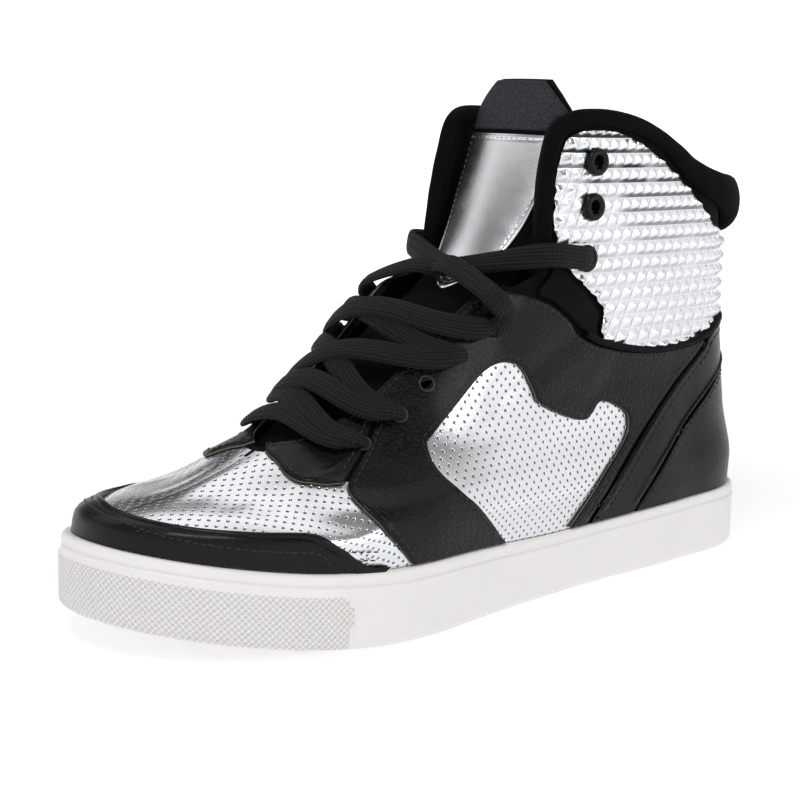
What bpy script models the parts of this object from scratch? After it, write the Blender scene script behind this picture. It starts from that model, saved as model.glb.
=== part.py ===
"""A left high-top dance sneaker, standing empty on its sole.

X runs from the heel to the toe, Y to the outer side of the foot and Z up, from
the middle of the heel's tread. The named sizes are millimetres.
"""
import math

import bmesh
import bpy
import numpy as np
from mathutils import Vector

MM = 0.001

# Driving sizes of the sole and the last
LENGTH = 298.5
BALL_WIDTH = 111.0
SOLE_SIDE = 25.0
TOE_SPRING = 10.5
INSTEP_HEIGHT = 84.5
HEEL_HEIGHT = 161.0
UPPER_WALL = 2.0
FIT = 0.35
HEEL_SEAT = 43.0
SPRING_START = 0.655

# Sole sizes
CUP_EDGE_ROUND = 2.5
LIP_GROOVE = 0.9
BUMPER_STEP = 0.8
BUMPER_START = 234.0
BUMPER_BLEND = 4.0
FLOOR_HEEL = 13.0
FLOOR_BALL = 9.0
ARCH_RISE = 1.4
ARCH_INSET = 9.0
ARCH_MIDDLE = 0.41
ARCH_REACH = 0.15
GROOVE_WIDTH = 3.0
GROOVE_DEPTH = 1.6
GROOVE_MARGIN = 9.0

# Sizes of the inner and soft pieces
INSOLE_THICK = 4.0
INSOLE_BEVEL = 1.0
TONGUE_THICK = 4.5
TONGUE_DEPTH = 3.0
TONGUE_LEAN = 22.0
BADGE_THICK = 1.1
OVERLAY_THICK = 1.3
STRAP_RISE = 0.6
TOE_CAP_THICK = 1.6
COLLAR_PANEL_THICK = 1.8
SEAM_GAP = 0.5
PULL_STRIP_THICK = 1.4
ROLL_DEPTH = 20.0
ROLL_OUTSIDE = 10.0
ROLL_INSIDE = 7.0
ROLL_RISE = 5.0

# Sizes of the eyelets and the lace
EYELET_RADIUS = 5.0
EYELET_BARREL = 2.9
EYELET_HOLE = 2.2
EYELET_FLANGE = 1.1
BORE_CLEAR = 0.4
LACE_HOLE = 2.2
LACE_WIDTH = 9.0
LACE_THICK = 1.7
LACE_LIFT = 3.2
LACE_OVER = 1.1
LACE_ARCH = 0.045
BORE_REACH = 6.0

# Resolution of the last's grid
COLUMNS = 40
LEVELS = (-0.10, 0.0, 0.08, 0.16, 0.24, 0.33, 0.42, 0.52, 0.62, 0.72, 0.82, 0.92, 1.0)

# Half width of the sole: share of length, share of half the ball width
WIDTHS = (
    (0.00, 0.720),
    (0.15, 0.722),
    (0.22, 0.735),
    (0.33, 0.728),
    (0.40, 0.743),
    (0.47, 0.778),
    (0.535, 0.828),
    (0.60, 0.895),
    (0.67, 0.960),
    (0.74, 0.985),
    (0.82, 0.985),
    (0.90, 0.960),
    (1.00, 0.940),
)
# Centre line of the sole: share of length, share of half the ball width
CURVE = (
    (0.00, 0.020),
    (0.10, 0.026),
    (0.33, 0.075),
    (0.46, 0.086),
    (0.60, 0.065),
    (0.74, 0.044),
    (0.82, 0.024),
    (0.90, -0.012),
    (1.00, -0.075),
)
# Height of the sole's side: share of length, share of the side height
SIDE = (
    (0.00, 1.00),
    (0.20, 0.95),
    (0.42, 0.90),
    (0.66, 1.00),
    (1.00, 1.00),
)
SOLE_HEEL_ROUND = 40.0
SOLE_TOE_ROUND = 82.0
SOLE_HEEL_POWER = 2.5
SOLE_TOE_POWER = 2.1

# Tilted rings of the last: level, heel x and heel z as shares of length and heel
# height, front x and front z as shares of length and instep height, width share,
# heel round, heel power, front round, front power, share of the sole's curve
RINGS = (
    (0.00, 0.0168, 0.155, 0.983, 0.4135, 0.945, 0.127, 2.5, 0.268, 2.1, 1.0),
    (0.08, 0.0150, 0.224, 0.978, 0.4801, 0.950, 0.127, 2.5, 0.275, 2.1, 1.0),
    (0.16, 0.0150, 0.292, 0.945, 0.5202, 0.910, 0.127, 2.4, 0.318, 2.1, 1.0),
    (0.24, 0.0184, 0.360, 0.881, 0.5621, 0.860, 0.127, 2.3, 0.375, 2.0, 0.9),
    (0.32, 0.0200, 0.429, 0.807, 0.6459, 0.830, 0.121, 2.2, 0.402, 2.0, 0.8),
    (0.40, 0.0235, 0.497, 0.735, 0.7812, 0.815, 0.114, 2.2, 0.385, 2.0, 0.7),
    (0.50, 0.0290, 0.578, 0.660, 1.0003, 0.810, 0.114, 2.2, 0.335, 2.0, 0.6),
    (0.60, 0.0305, 0.658, 0.596, 1.2251, 0.805, 0.114, 2.2, 0.275, 2.0, 0.5),
    (0.70, 0.0280, 0.739, 0.543, 1.4442, 0.800, 0.114, 2.2, 0.221, 2.0, 0.4),
    (0.80, 0.0225, 0.826, 0.503, 1.6805, 0.795, 0.121, 2.1, 0.174, 2.0, 0.4),
    (0.90, 0.0130, 0.913, 0.476, 1.9168, 0.795, 0.121, 2.1, 0.154, 2.0, 0.4),
    (1.00, 0.0060, 1.000, 0.459, 2.1530, 0.795, 0.121, 2.0, 0.147, 2.0, 0.4),
    (1.10, 0.0010, 1.087, 0.442, 2.3893, 0.795, 0.121, 2.0, 0.147, 2.0, 0.4),
)

# Outlines on the last: degrees round from the heel's back, level, corner flag
OPENING = (
    (180.0, 0.352, 0),
    (166.0, 0.362, 0),
    (157.0, 0.400, 0),
    (152.0, 0.460, 0),
    (148.0, 0.520, 0),
    (143.5, 0.585, 0),
    (140.0, 0.622, 0),
    (135.0, 0.634, 0),
    (127.0, 0.637, 0),
    (123.0, 0.660, 0),
    (125.5, 0.705, 0),
    (131.0, 0.770, 0),
    (135.0, 0.825, 0),
    (137.0, 0.880, 0),
    (136.0, 0.930, 0),
    (129.0, 0.957, 0),
    (119.0, 0.969, 0),
    (109.0, 0.973, 0),
    (99.0, 0.970, 0),
    (89.0, 0.957, 0),
    (78.0, 0.932, 0),
    (67.0, 0.902, 0),
    (54.0, 0.882, 0),
    (36.0, 0.872, 0),
    (18.0, 0.868, 0),
    (0.0, 0.866, 0),
)
COLLAR_START = 0.66
TOE_CAP = (
    (121.5, 0.004, 1),
    (125.1, 0.030, 0),
    (128.5, 0.070, 0),
    (134.0, 0.110, 0),
    (144.6, 0.114, 0),
    (154.4, 0.118, 0),
    (166.8, 0.129, 0),
    (180.0, 0.145, 0),
    (192.0, 0.148, 0),
    (206.0, 0.130, 0),
    (218.0, 0.116, 0),
    (227.0, 0.104, 0),
    (232.5, 0.065, 0),
    (236.0, 0.030, 0),
    (239.5, 0.004, 1),
)
THROAT_GUARD = (
    (137.0, 0.262, 1),
    (144.2, 0.265, 0),
    (150.0, 0.280, 0),
    (156.0, 0.300, 0),
    (162.9, 0.324, 0),
    (172.0, 0.343, 1),
    (176.0, 0.356, 1),
    (166.0, 0.368, 0),
    (159.0, 0.396, 0),
    (155.5, 0.425, 1),
    (147.0, 0.400, 1),
    (141.0, 0.330, 0),
)
QUARTER = (
    (114.8, 0.004, 1),
    (123.0, 0.132, 0),
    (135.6, 0.257, 1),
    (140.0, 0.330, 0),
    (146.3, 0.405, 1),
    (154.5, 0.430, 1),
    (152.6, 0.465, 0),
    (148.8, 0.520, 0),
    (144.6, 0.580, 0),
    (141.0, 0.614, 0),
    (135.1, 0.627, 0),
    (129.5, 0.626, 0),
    (121.4, 0.614, 0),
    (112.6, 0.593, 0),
    (103.5, 0.556, 0),
    (96.7, 0.518, 0),
    (87.9, 0.486, 0),
    (72.4, 0.449, 0),
    (57.0, 0.436, 0),
    (45.0, 0.444, 1),
    (46.0, 0.424, 0),
    (57.0, 0.336, 0),
    (64.6, 0.212, 0),
    (70.6, 0.088, 0),
    (75.5, 0.004, 1),
    (79.5, 0.004, 1),
    (74.5, 0.083, 0),
    (69.4, 0.184, 0),
    (68.0, 0.232, 0),
    (69.0, 0.275, 0),
    (72.0, 0.305, 0),
    (77.0, 0.335, 0),
    (80.5, 0.340, 0),
    (81.3, 0.312, 0),
    (83.5, 0.302, 0),
    (95.6, 0.359, 0),
    (100.7, 0.385, 0),
    (104.5, 0.419, 0),
    (108.5, 0.452, 0),
    (114.0, 0.478, 0),
    (119.5, 0.485, 0),
    (123.4, 0.467, 0),
    (125.3, 0.414, 0),
    (126.0, 0.355, 0),
    (124.0, 0.322, 0),
    (104.2, 0.144, 0),
    (94.5, 0.004, 1),
)
HEEL_STRAP = (
    (74.6, 0.004, 1),
    (69.7, 0.088, 0),
    (63.6, 0.212, 0),
    (56.0, 0.336, 0),
    (45.0, 0.424, 0),
    (42.5, 0.452, 0),
    (36.0, 0.474, 0),
    (18.0, 0.488, 0),
    (0.0, 0.492, 0),
    (0.0, 0.390, 0),
    (12.0, 0.384, 0),
    (25.0, 0.360, 0),
    (35.1, 0.327, 0),
    (42.4, 0.282, 0),
    (50.2, 0.210, 0),
    (58.2, 0.102, 0),
    (64.1, 0.004, 1),
)
HEEL_COUNTER = (
    (63.2, 0.004, 1),
    (57.2, 0.100, 0),
    (49.2, 0.206, 0),
    (41.4, 0.276, 0),
    (34.1, 0.320, 0),
    (24.5, 0.353, 0),
    (12.0, 0.377, 0),
    (0.0, 0.383, 0),
)
COLLAR_PANEL = (
    (0.35, 0.512, 1),
    (18.0, 0.508, 0),
    (36.0, 0.494, 0),
    (43.5, 0.471, 0),
    (52.0, 0.455, 0),
    (60.0, 0.452, 0),
    (72.4, 0.462, 0),
    (87.0, 0.497, 1),
    (90.0, 0.530, 0),
    (91.4, 0.568, 0),
    (100.2, 0.616, 0),
    (108.0, 0.650, 0),
    (118.0, 0.700, 0),
    (125.5, 0.760, 0),
    (129.5, 0.816, 0),
    (131.5, 0.868, 0),
    (130.5, 0.908, 0),
    (126.0, 0.926, 0),
    (118.0, 0.936, 0),
    (108.6, 0.938, 0),
    (98.4, 0.928, 0),
    (87.9, 0.904, 0),
    (77.0, 0.872, 0),
    (64.0, 0.828, 0),
    (50.0, 0.768, 0),
    (36.0, 0.735, 0),
    (18.0, 0.722, 0),
    (0.35, 0.718, 1),
)
GUSSET = (
    (96.2, 0.529, 1),
    (103.5, 0.564, 0),
    (112.6, 0.601, 0),
    (118.5, 0.617, 0),
    (117.8, 0.655, 1),
    (116.8, 0.684, 1),
    (110.0, 0.648, 0),
    (101.6, 0.610, 0),
    (93.0, 0.563, 0),
    (91.6, 0.530, 0),
    (89.5, 0.500, 1),
)
# Collar binding: share of the way from the throat to the heel's back, then its
# depth, thickness outside, thickness inside and rise as shares of the roll's
BINDING = (
    (0.00, 0.20, 0.18, 0.31, 0.24),
    (0.10, 0.21, 0.24, 0.40, 0.30),
    (0.45, 0.23, 0.26, 0.46, 0.30),
    (0.62, 0.33, 0.30, 0.51, 0.36),
    (0.75, 0.45, 0.40, 0.63, 0.48),
    (0.82, 0.62, 0.60, 0.74, 0.64),
    (0.88, 0.88, 0.85, 0.86, 0.84),
    (1.00, 1.00, 1.00, 1.00, 1.00),
)
# Pull strip at the heel's back: degrees round, level, corner flag
PULL_STRIP = (
    (-8.0, 0.56, 1),
    (8.0, 0.56, 1),
    (8.0, 0.70, 1),
    (-8.0, 0.70, 1),
)
# Tongue sections: level, half width in degrees, share of its lean toward the
# heel, share of the last's bow that is left
TONGUE = (
    (0.300, 22.0, 0.00, 1.00),
    (0.360, 30.0, 0.00, 1.00),
    (0.440, 36.0, 0.00, 1.00),
    (0.500, 40.0, 0.11, 0.95),
    (0.550, 42.0, 0.36, 0.85),
    (0.600, 44.0, 0.73, 0.70),
    (0.650, 45.0, 0.95, 0.60),
    (0.720, 46.0, 1.00, 0.55),
    (0.800, 47.0, 0.98, 0.50),
    (0.880, 47.5, 0.98, 0.50),
    (0.935, 45.0, 1.00, 0.50),
    (0.975, 33.0, 1.02, 0.50),
    (1.010, 20.0, 1.04, 0.50),
)
TONGUE_COLUMNS = 8
# Outlines on the tongue: share of its half width, level, corner flag
BADGE = (
    (0.75, 0.906, 1),
    (0.76, 0.850, 0),
    (0.75, 0.790, 0),
    (0.62, 0.700, 0),
    (0.42, 0.660, 0),
    (0.20, 0.635, 0),
    (0.03, 0.632, 0),
    (-0.35, 0.662, 0),
    (-0.62, 0.705, 0),
    (-0.80, 0.790, 0),
    (-0.86, 0.850, 0),
    (-0.88, 0.906, 1),
)
TIP = (
    (0.90, 0.913, 1),
    (0.90, 0.945, 0),
    (0.88, 0.970, 0),
    (0.80, 1.003, 1),
    (-0.80, 1.003, 1),
    (-0.88, 0.970, 0),
    (-0.90, 0.945, 0),
    (-0.90, 0.913, 1),
)
# Collar eyelets and lace holes: name, degrees round, level
EYELETS = (
    ("top", 116.4, 0.876),
    ("middle", 112.2, 0.790),
    ("low", 107.4, 0.688),
)
LACE_HOLES = (
    ("first", 143.5, 0.355),
    ("second", 140.5, 0.408),
    ("third", 138.9, 0.461),
    ("fourth", 133.4, 0.508),
    ("fifth", 128.0, 0.556),
)
# Lace crossings: row on the outer side, row on the inner side, lift in the
# middle, lift at the ends
CROSSINGS = (
    ("first", "first", 0.0, 0.00),
    ("first", "second", 0.0, 0.35),
    ("second", "second", 1.0, 0.50),
    ("second", "fourth", 0.0, 0.15),
    ("fourth", "second", 1.0, 0.30),
    ("fourth", "fifth", 0.0, 0.00),
    ("fifth", "fourth", 1.0, 0.45),
)
# Lace from a low eyelet over the tongue to the other side's fifth hole: surface,
# degrees round or share of the tongue's half width, level, lift
BAR = (
    ("last", 114.0, 0.692, 4.5),
    ("last", 125.0, 0.695, 4.5),
    ("tongue", 0.62, 0.672, 3.0),
    ("tongue", 0.00, 0.655, 3.0),
    ("tongue", -0.35, 0.634, 7.5),
    ("last", 224.0, 0.606, 6.8),
    ("last", 230.5, 0.578, 6.2),
)
BAR_OVER = 2.2
# Tread grooves: share of length of the first and last, number
GROOVES = (
    (0.07, 0.27, 5),
    (0.62, 0.90, 8),
)

BLACK_LEATHER = ("black_leather", (0.017, 0.017, 0.019, 1.0), 0.45, 0.0)
SILVER_LEATHER = ("silver_leather", (0.62, 0.63, 0.64, 1.0), 0.30, 0.85)
WHITE_RUBBER = ("white_rubber", (0.80, 0.79, 0.77, 1.0), 0.55, 0.0)
BLACK_FABRIC = ("black_fabric", (0.014, 0.014, 0.015, 1.0), 0.90, 0.0)
GREY_FOAM = ("grey_foam", (0.10, 0.10, 0.11, 1.0), 0.95, 0.0)
BLACK_METAL = ("black_metal", (0.02, 0.02, 0.022, 1.0), 0.35, 0.9)


def table(rows, at, column=1):
    """Smooth curve through a table's rows, with no overshoot."""
    data = np.asarray(rows, float)
    x = data[:, 0]
    y = data[:, column]
    step = np.diff(x)
    slope = np.diff(y) / step
    tangent = np.empty_like(y)
    total = slope[:-1] + slope[1:]
    same = slope[:-1] * slope[1:] > 0
    tangent[1:-1] = np.where(same, 2 * slope[:-1] * slope[1:] / np.where(total == 0, 1, total), 0)
    tangent[0] = slope[0]
    tangent[-1] = slope[-1]
    at = np.clip(np.asarray(at, float), x[0], x[-1])
    i = np.clip(np.searchsorted(x, at, side="right") - 1, 0, len(x) - 2)
    t = (at - x[i]) / step[i]
    return ((1 + 2 * t) * (1 - t) ** 2 * y[i] + t * (1 - t) ** 2 * step[i] * tangent[i]
            + t * t * (3 - 2 * t) * y[i + 1] + t * t * (t - 1) * step[i] * tangent[i + 1])


def rounded(distance, radius, power):
    """Share of full width at a distance from an end of a rounded outline."""
    left = np.clip(1 - distance / radius, 0, 1)
    return (1 - left ** power) ** (1 / power)


def spring(x):
    """Height of the sole's underside above the floor."""
    ahead = (x / LENGTH - SPRING_START) / (1 - SPRING_START)
    return TOE_SPRING * np.clip(ahead, 0, None) ** 2


def side_top(x):
    """Height of the sole's rim."""
    return spring(x) + SOLE_SIDE * table(SIDE, x / LENGTH)


def floor_height(x):
    """Height of the floor inside the cup."""
    share = np.clip(x / LENGTH, 0, 1)
    return spring(x) + FLOOR_BALL + (FLOOR_HEEL - FLOOR_BALL) * np.clip(1 - share / 0.62, 0, 1)


def sole_edge(turn, inset):
    """Outline of the sole in plan, moved in by inset; turn is 0 at the heel's back."""
    share = (1 - np.cos(turn)) / 2
    x = inset + (LENGTH - 2 * inset) * share
    half = BALL_WIDTH / 2 * table(WIDTHS, x / LENGTH) - inset
    half = half * rounded(x - inset, SOLE_HEEL_ROUND - inset, SOLE_HEEL_POWER)
    half = half * rounded(LENGTH - inset - x, SOLE_TOE_ROUND - inset, SOLE_TOE_POWER)
    side = np.where(np.sin(turn) >= 0, 1.0, -1.0)
    return x, BALL_WIDTH / 2 * table(CURVE, x / LENGTH) + side * half


def last_point(turn, level):
    """Point on the last; turn is 0 at the heel's back and half a turn at the front."""
    heel_x, heel_z, front_x, front_z, width = (table(RINGS, level, c) for c in range(1, 6))
    heel_round, heel_power, front_round, front_power, bend = (
        table(RINGS, level, c) for c in range(6, 11))
    share = (1 - np.cos(turn)) / 2
    x = LENGTH * (heel_x + (front_x - heel_x) * share)
    z = HEEL_HEIGHT * heel_z * (1 - share) + INSTEP_HEIGHT * front_z * share
    base = HEEL_HEIGHT * RINGS[0][2] * (1 - share) + INSTEP_HEIGHT * RINGS[0][4] * share
    z = z + (side_top(x) - base) * np.clip(1 - np.maximum(level, 0) / 0.3, 0, 1) ** 1.5
    half = BALL_WIDTH / 2 * table(WIDTHS, x / LENGTH) * width
    half = half * rounded(x - LENGTH * heel_x, LENGTH * heel_round, heel_power)
    half = half * rounded(LENGTH * front_x - x, LENGTH * front_round, front_power)
    side = np.where(np.sin(turn) >= 0, 1.0, -1.0)
    y = BALL_WIDTH / 2 * table(CURVE, x / LENGTH) * bend + side * half
    buried = np.clip(-np.asarray(level) / -LEVELS[0], 0, 1)
    z = z + (floor_height(x) + FIT - z) * buried
    return np.stack(np.broadcast_arrays(x, y, z), -1)


def last_normal(turn, level):
    """Outward direction of the last."""
    small = 1e-3
    turn = np.asarray(turn, float)
    level = np.asarray(level, float)
    around = last_point(turn + small, level) - last_point(turn - small, level)
    low = np.maximum(level - small, 0.0)
    up = last_point(turn, low + 2 * small) - last_point(turn, low)
    normal = np.cross(around, up)
    size = np.linalg.norm(normal, axis=-1, keepdims=True)
    return -normal / np.where(size == 0, 1, size)


class Grid:
    """Points and directions of a surface on a grid of flat triangles."""

    def __init__(self, columns, rows, points, normals, closed=False):
        self.columns = np.asarray(columns, float)
        self.rows = np.asarray(rows, float)
        self.points = points
        self.normals = normals
        self.closed = closed

    def place(self, u, v):
        """Number of columns and rows that a place is from the grid's corner."""
        first, last = self.columns[0], self.columns[-1]
        count = len(self.columns) - 1
        if self.closed:
            across = (u - first) / (last - first) * count
        else:
            across = np.interp(u, self.columns, np.arange(count + 1))
        return across, np.interp(v, self.rows, np.arange(len(self.rows)))

    def at(self, across, up):
        """Point and direction at a number of columns and rows."""
        columns = len(self.columns) - 1
        if self.closed:
            across = across % columns
        i = int(np.clip(math.floor(across + 1e-7), 0, columns - 1))
        j = int(np.clip(math.floor(up + 1e-7), 0, len(self.rows) - 2))
        a = across - i
        b = up - j
        if a >= b:
            weights = ((1 - a, i, j), (a - b, i + 1, j), (b, i + 1, j + 1))
        else:
            weights = ((1 - b, i, j), (b - a, i, j + 1), (a, i + 1, j + 1))
        point = sum(w * self.points[m, n] for w, m, n in weights)
        normal = sum(w * self.normals[m, n] for w, m, n in weights)
        return point, normal

    def read(self, u, v):
        """Point and direction at a place."""
        return self.at(*self.place(u, v))


def last_grid():
    """Grid of the last, closed round the heel."""
    degrees = np.linspace(0, 360, COLUMNS + 1)
    turn, level = np.meshgrid(np.radians(degrees), np.asarray(LEVELS), indexing="ij")
    points = last_point(turn, level)
    normals = last_normal(turn, level)
    normals[[0, COLUMNS // 2, COLUMNS], :, 1] = 0
    normals[:, np.asarray(LEVELS) <= 0, 2] = 0
    normals /= np.linalg.norm(normals, axis=-1, keepdims=True)
    return Grid(degrees, LEVELS, points, normals, closed=True)


def tongue_point(across, level):
    """Point of the tongue's outer face; across is -1 to 1."""
    half, lean, bow = (table(TONGUE, level, c) for c in range(1, 4))
    turn = np.radians(180.0 - across * half)
    ridge = last_point(np.full_like(turn, math.pi), level)
    point = last_point(turn, level)
    side = np.stack((bow, np.ones_like(bow), bow), -1)
    point = ridge + (point - ridge) * side - last_normal(turn, level) * TONGUE_DEPTH
    point[..., 0] -= TONGUE_LEAN * lean
    return point


def tongue_normal(across, level):
    """Outward direction of the tongue's face."""
    small = 1e-3
    around = tongue_point(across + small, level) - tongue_point(across - small, level)
    low = np.clip(level - small, TONGUE[0][0], TONGUE[-1][0] - 2 * small)
    up = tongue_point(across, low + 2 * small) - tongue_point(across, low)
    normal = np.cross(around, up)
    return normal / np.linalg.norm(normal, axis=-1, keepdims=True)


def tongue_grid():
    """Grid of the tongue's outer face."""
    share = np.linspace(-1, 1, TONGUE_COLUMNS + 1)
    rows = np.array([row[0] for row in TONGUE])
    across, level = np.meshgrid(share, rows, indexing="ij")
    return Grid(share, rows, tongue_point(across, level), tongue_normal(across, level))


def catmull(points, t):
    """Point between the middle two of four, on a curve through them all."""
    p0, p1, p2, p3 = points
    return 0.5 * (2 * p1 + (p2 - p0) * t + (2 * p0 - 5 * p1 + 4 * p2 - p3) * t ** 2
                  + (3 * p1 - p0 - 3 * p2 + p3) * t ** 3)


def curve_through(rows, closed=True, steps=2):
    """Outline through a table's points, round except at its corners."""
    data = np.asarray(rows, float)
    scale = np.array([1.0, 180.0])
    points = data[:, :2] * scale
    count = len(points)
    made = []
    for k in range(count if closed else count - 1):
        p1 = points[k]
        p2 = points[(k + 1) % count]
        first = data[k, 2] == 1 or (not closed and k == 0)
        last = data[(k + 1) % count, 2] == 1 or (not closed and k == count - 2)
        p0 = p1 * 2 - p2 if first else points[k - 1]
        p3 = p2 * 2 - p1 if last else points[(k + 2) % count]
        parts = 1 if first and last else steps
        for s in range(parts):
            made.append(catmull((p0, p1, p2, p3), s / parts))
    if not closed:
        made.append(points[-1])
    return np.array(made) / scale


def mirrored(rows):
    """Outline of the other side, with its order turned round."""
    return tuple((-row[0],) + tuple(row[1:]) for row in reversed(rows))


def both_sides(rows):
    """Outline that runs on from one side's table to its mirror image."""
    inner = [row for row in mirrored(rows) if abs(row[0]) > 1e-6]
    return tuple(rows) + tuple(inner)


def material(look):
    """Material of a look, made once."""
    name, color, roughness, metallic = look
    made = bpy.data.materials.get(name)
    if made is None:
        made = bpy.data.materials.new(name)
        made.use_nodes = True
        made.diffuse_color = color
        shader = made.node_tree.nodes["Principled BSDF"]
        shader.inputs["Base Color"].default_value = color
        shader.inputs["Roughness"].default_value = roughness
        shader.inputs["Metallic"].default_value = metallic
    return made


def collection(name):
    """Collection with this name, under the scene's own."""
    made = bpy.data.collections.get(name)
    if made is None:
        made = bpy.data.collections.new(name)
        bpy.context.scene.collection.children.link(made)
    return made


def finish(mesh_data, name, look, group="dance_sneaker"):
    """Object of a mesh, with its faces turned outward."""
    bmesh.ops.translate(mesh_data, verts=mesh_data.verts[:], vec=(-HEEL_SEAT * MM, 0, 0))
    bmesh.ops.recalc_face_normals(mesh_data, faces=mesh_data.faces[:])
    if mesh_data.calc_volume(signed=True) < 0:
        bmesh.ops.reverse_faces(mesh_data, faces=mesh_data.faces[:])
    mesh = bpy.data.meshes.new(name)
    mesh_data.to_mesh(mesh)
    mesh_data.free()
    made = bpy.data.objects.new(name, mesh)
    mesh.materials.append(material(look))
    collection(group).objects.link(made)
    return made


def flat_sheet(grid, outline):
    """Filled flat outline, cut along the grid's lines and diagonals."""
    sheet = bmesh.new()
    places = np.array([grid.place(u, v) for u, v in outline])
    sheet.faces.new([sheet.verts.new((i, j, 0.0)) for i, j in places])
    slant = places[:, 0] - places[:, 1]
    cuts = []
    for along, values in (((1, 0), places[:, 0]), ((0, 1), places[:, 1]), ((1, -1), slant)):
        for line in range(math.ceil(values.min()), math.floor(values.max()) + 1):
            point = (line, 0, 0) if along[0] else (0, line, 0)
            cuts.append((point, (along[0], along[1], 0)))
    for point, direction in cuts:
        geometry = sheet.verts[:] + sheet.edges[:] + sheet.faces[:]
        bmesh.ops.bisect_plane(sheet, geom=geometry, dist=1e-5, plane_co=point, plane_no=direction)
    return sheet


def thicken(grid, sheet, low, high):
    """Turns a flat sheet into a solid between two offsets of its grid."""
    made = bmesh.ops.extrude_face_region(sheet, geom=sheet.faces[:])
    raised = {v for v in made["geom"] if isinstance(v, bmesh.types.BMVert)}
    ends = [f for f in sheet.faces if len({v in raised for v in f.verts}) == 2
            and grid.closed and all(abs(abs(v.co.x) - COLUMNS / 2) < 1e-5 for v in f.verts)]
    bmesh.ops.delete(sheet, geom=ends, context="FACES_ONLY")
    for vertex in sheet.verts:
        point, normal = grid.at(vertex.co.x, vertex.co.y)
        vertex.co = Vector((point + normal * (high if vertex in raised else low)) * MM)
    bmesh.ops.remove_doubles(sheet, verts=sheet.verts[:], dist=1e-6)
    return sheet


def panel(grid, name, look, rows, low, high):
    """Cut panel that lies on a grid."""
    sheet = flat_sheet(grid, curve_through(rows))
    return finish(thicken(grid, sheet, low, high), name, look)


def make_upper(grid):
    """One hollow wall, open at collar, throat and underneath."""
    edge = curve_through(OPENING, closed=False, steps=1)
    other = [(-u, v) for u, v in edge[::-1]][1:]
    bottom = [(-180.0, LEVELS[0]), (180.0, LEVELS[0])]
    outline = bottom + [(u, v) for u, v in edge] + other
    solid = thicken(grid, flat_sheet(grid, outline), -UPPER_WALL, 0.0)
    return finish(solid, "upper", SILVER_LEATHER)


def loft(mesh_data, rings):
    """Quads between rings of as many points each; returns the rings' vertices."""
    made = [[mesh_data.verts.new(Vector(p) * MM) for p in ring] for ring in rings]
    for below, above in zip(made, made[1:]):
        count = len(below)
        for k in range(count):
            n = (k + 1) % count
            mesh_data.faces.new((below[k], below[n], above[n], above[k]))
    return made


def ruled_fill(mesh_data, ring):
    """Cross strips between the two sides of a ring that starts at the heel's back."""
    count = len(ring)
    half = count // 2
    mesh_data.faces.new((ring[0], ring[1], ring[-1]))
    for k in range(1, half - 1):
        mesh_data.faces.new((ring[k], ring[k + 1], ring[count - k - 1], ring[count - k]))
    mesh_data.faces.new((ring[half - 1], ring[half], ring[half + 1]))


def make_cupsole(grid):
    """Cup with a stepped side, toe bumper, toe spring, arch and treads."""
    turn = np.radians(grid.columns[:-1])
    solid = bmesh.new()

    def ring(inset, share, bump=0.0):
        x, y = sole_edge(turn, inset)
        blend = np.clip((x - BUMPER_START) / BUMPER_BLEND, 0, 1)
        wide_x, wide_y = sole_edge(turn, inset - BUMPER_STEP)
        x = x + (wide_x - x) * blend * bump
        y = y + (wide_y - y) * blend * bump
        z = spring(x) + (side_top(x) - spring(x)) * share
        return np.stack((x, y, z), -1)

    arch = ring(ARCH_INSET, 0.0)
    middle = np.clip(1 - np.abs(arch[:, 0] / LENGTH - ARCH_MIDDLE) / ARCH_REACH, 0, 1)
    arch[:, 2] += ARCH_RISE * middle * middle * (3 - 2 * middle)
    rim = grid.points[:-1, 1] + grid.normals[:-1, 1] * FIT
    base = grid.points[:-1, 0] + grid.normals[:-1, 0] * FIT
    base[:, 2] -= FIT
    rings = [
        arch,
        ring(CUP_EDGE_ROUND, 0.0),
        ring(CUP_EDGE_ROUND * 0.24, 0.035),
        ring(0.0, 0.10),
        ring(0.0, 0.14, 1.0),
        ring(0.0, 0.66, 1.0),
        ring(0.0, 0.70),
        ring(0.0, 0.80),
        ring(LIP_GROOVE, 0.835),
        ring(CUP_EDGE_ROUND * 0.04, 0.87),
        ring(CUP_EDGE_ROUND * 0.12, 0.95),
        ring(CUP_EDGE_ROUND * 0.52, 1.0),
        rim,
        base,
    ]
    made = loft(solid, rings)
    ruled_fill(solid, made[0])
    ruled_fill(solid, made[-1])
    sole = finish(solid, "cupsole", WHITE_RUBBER)
    cut(sole, groove_cutter())
    return sole


def groove_cutter():
    """Slabs that cut the tread's cross grooves."""
    cutter = bmesh.new()
    for first, last, count in GROOVES:
        for share in np.linspace(first, last, count):
            x = share * LENGTH
            half = BALL_WIDTH / 2 * table(WIDTHS, share)
            half *= rounded(x, SOLE_HEEL_ROUND, SOLE_HEEL_POWER)
            half *= rounded(LENGTH - x, SOLE_TOE_ROUND, SOLE_TOE_POWER)
            middle = BALL_WIDTH / 2 * table(CURVE, share)
            slope = math.atan2(spring(x + 1) - spring(x - 1), 2)
            made = bmesh.ops.create_cube(cutter, size=1.0)
            bmesh.ops.scale(cutter, verts=made["verts"],
                            vec=(GROOVE_WIDTH, 2 * (half - GROOVE_MARGIN), 2 * GROOVE_DEPTH))
            turned = Vector((x, middle, spring(x)))
            for vertex in made["verts"]:
                px, py, pz = vertex.co
                vertex.co.x = px * math.cos(slope) - pz * math.sin(slope)
                vertex.co.z = px * math.sin(slope) + pz * math.cos(slope)
                vertex.co = (vertex.co + turned) * MM
    return finish(cutter, "groove_cutter", WHITE_RUBBER, "cutters")


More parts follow.
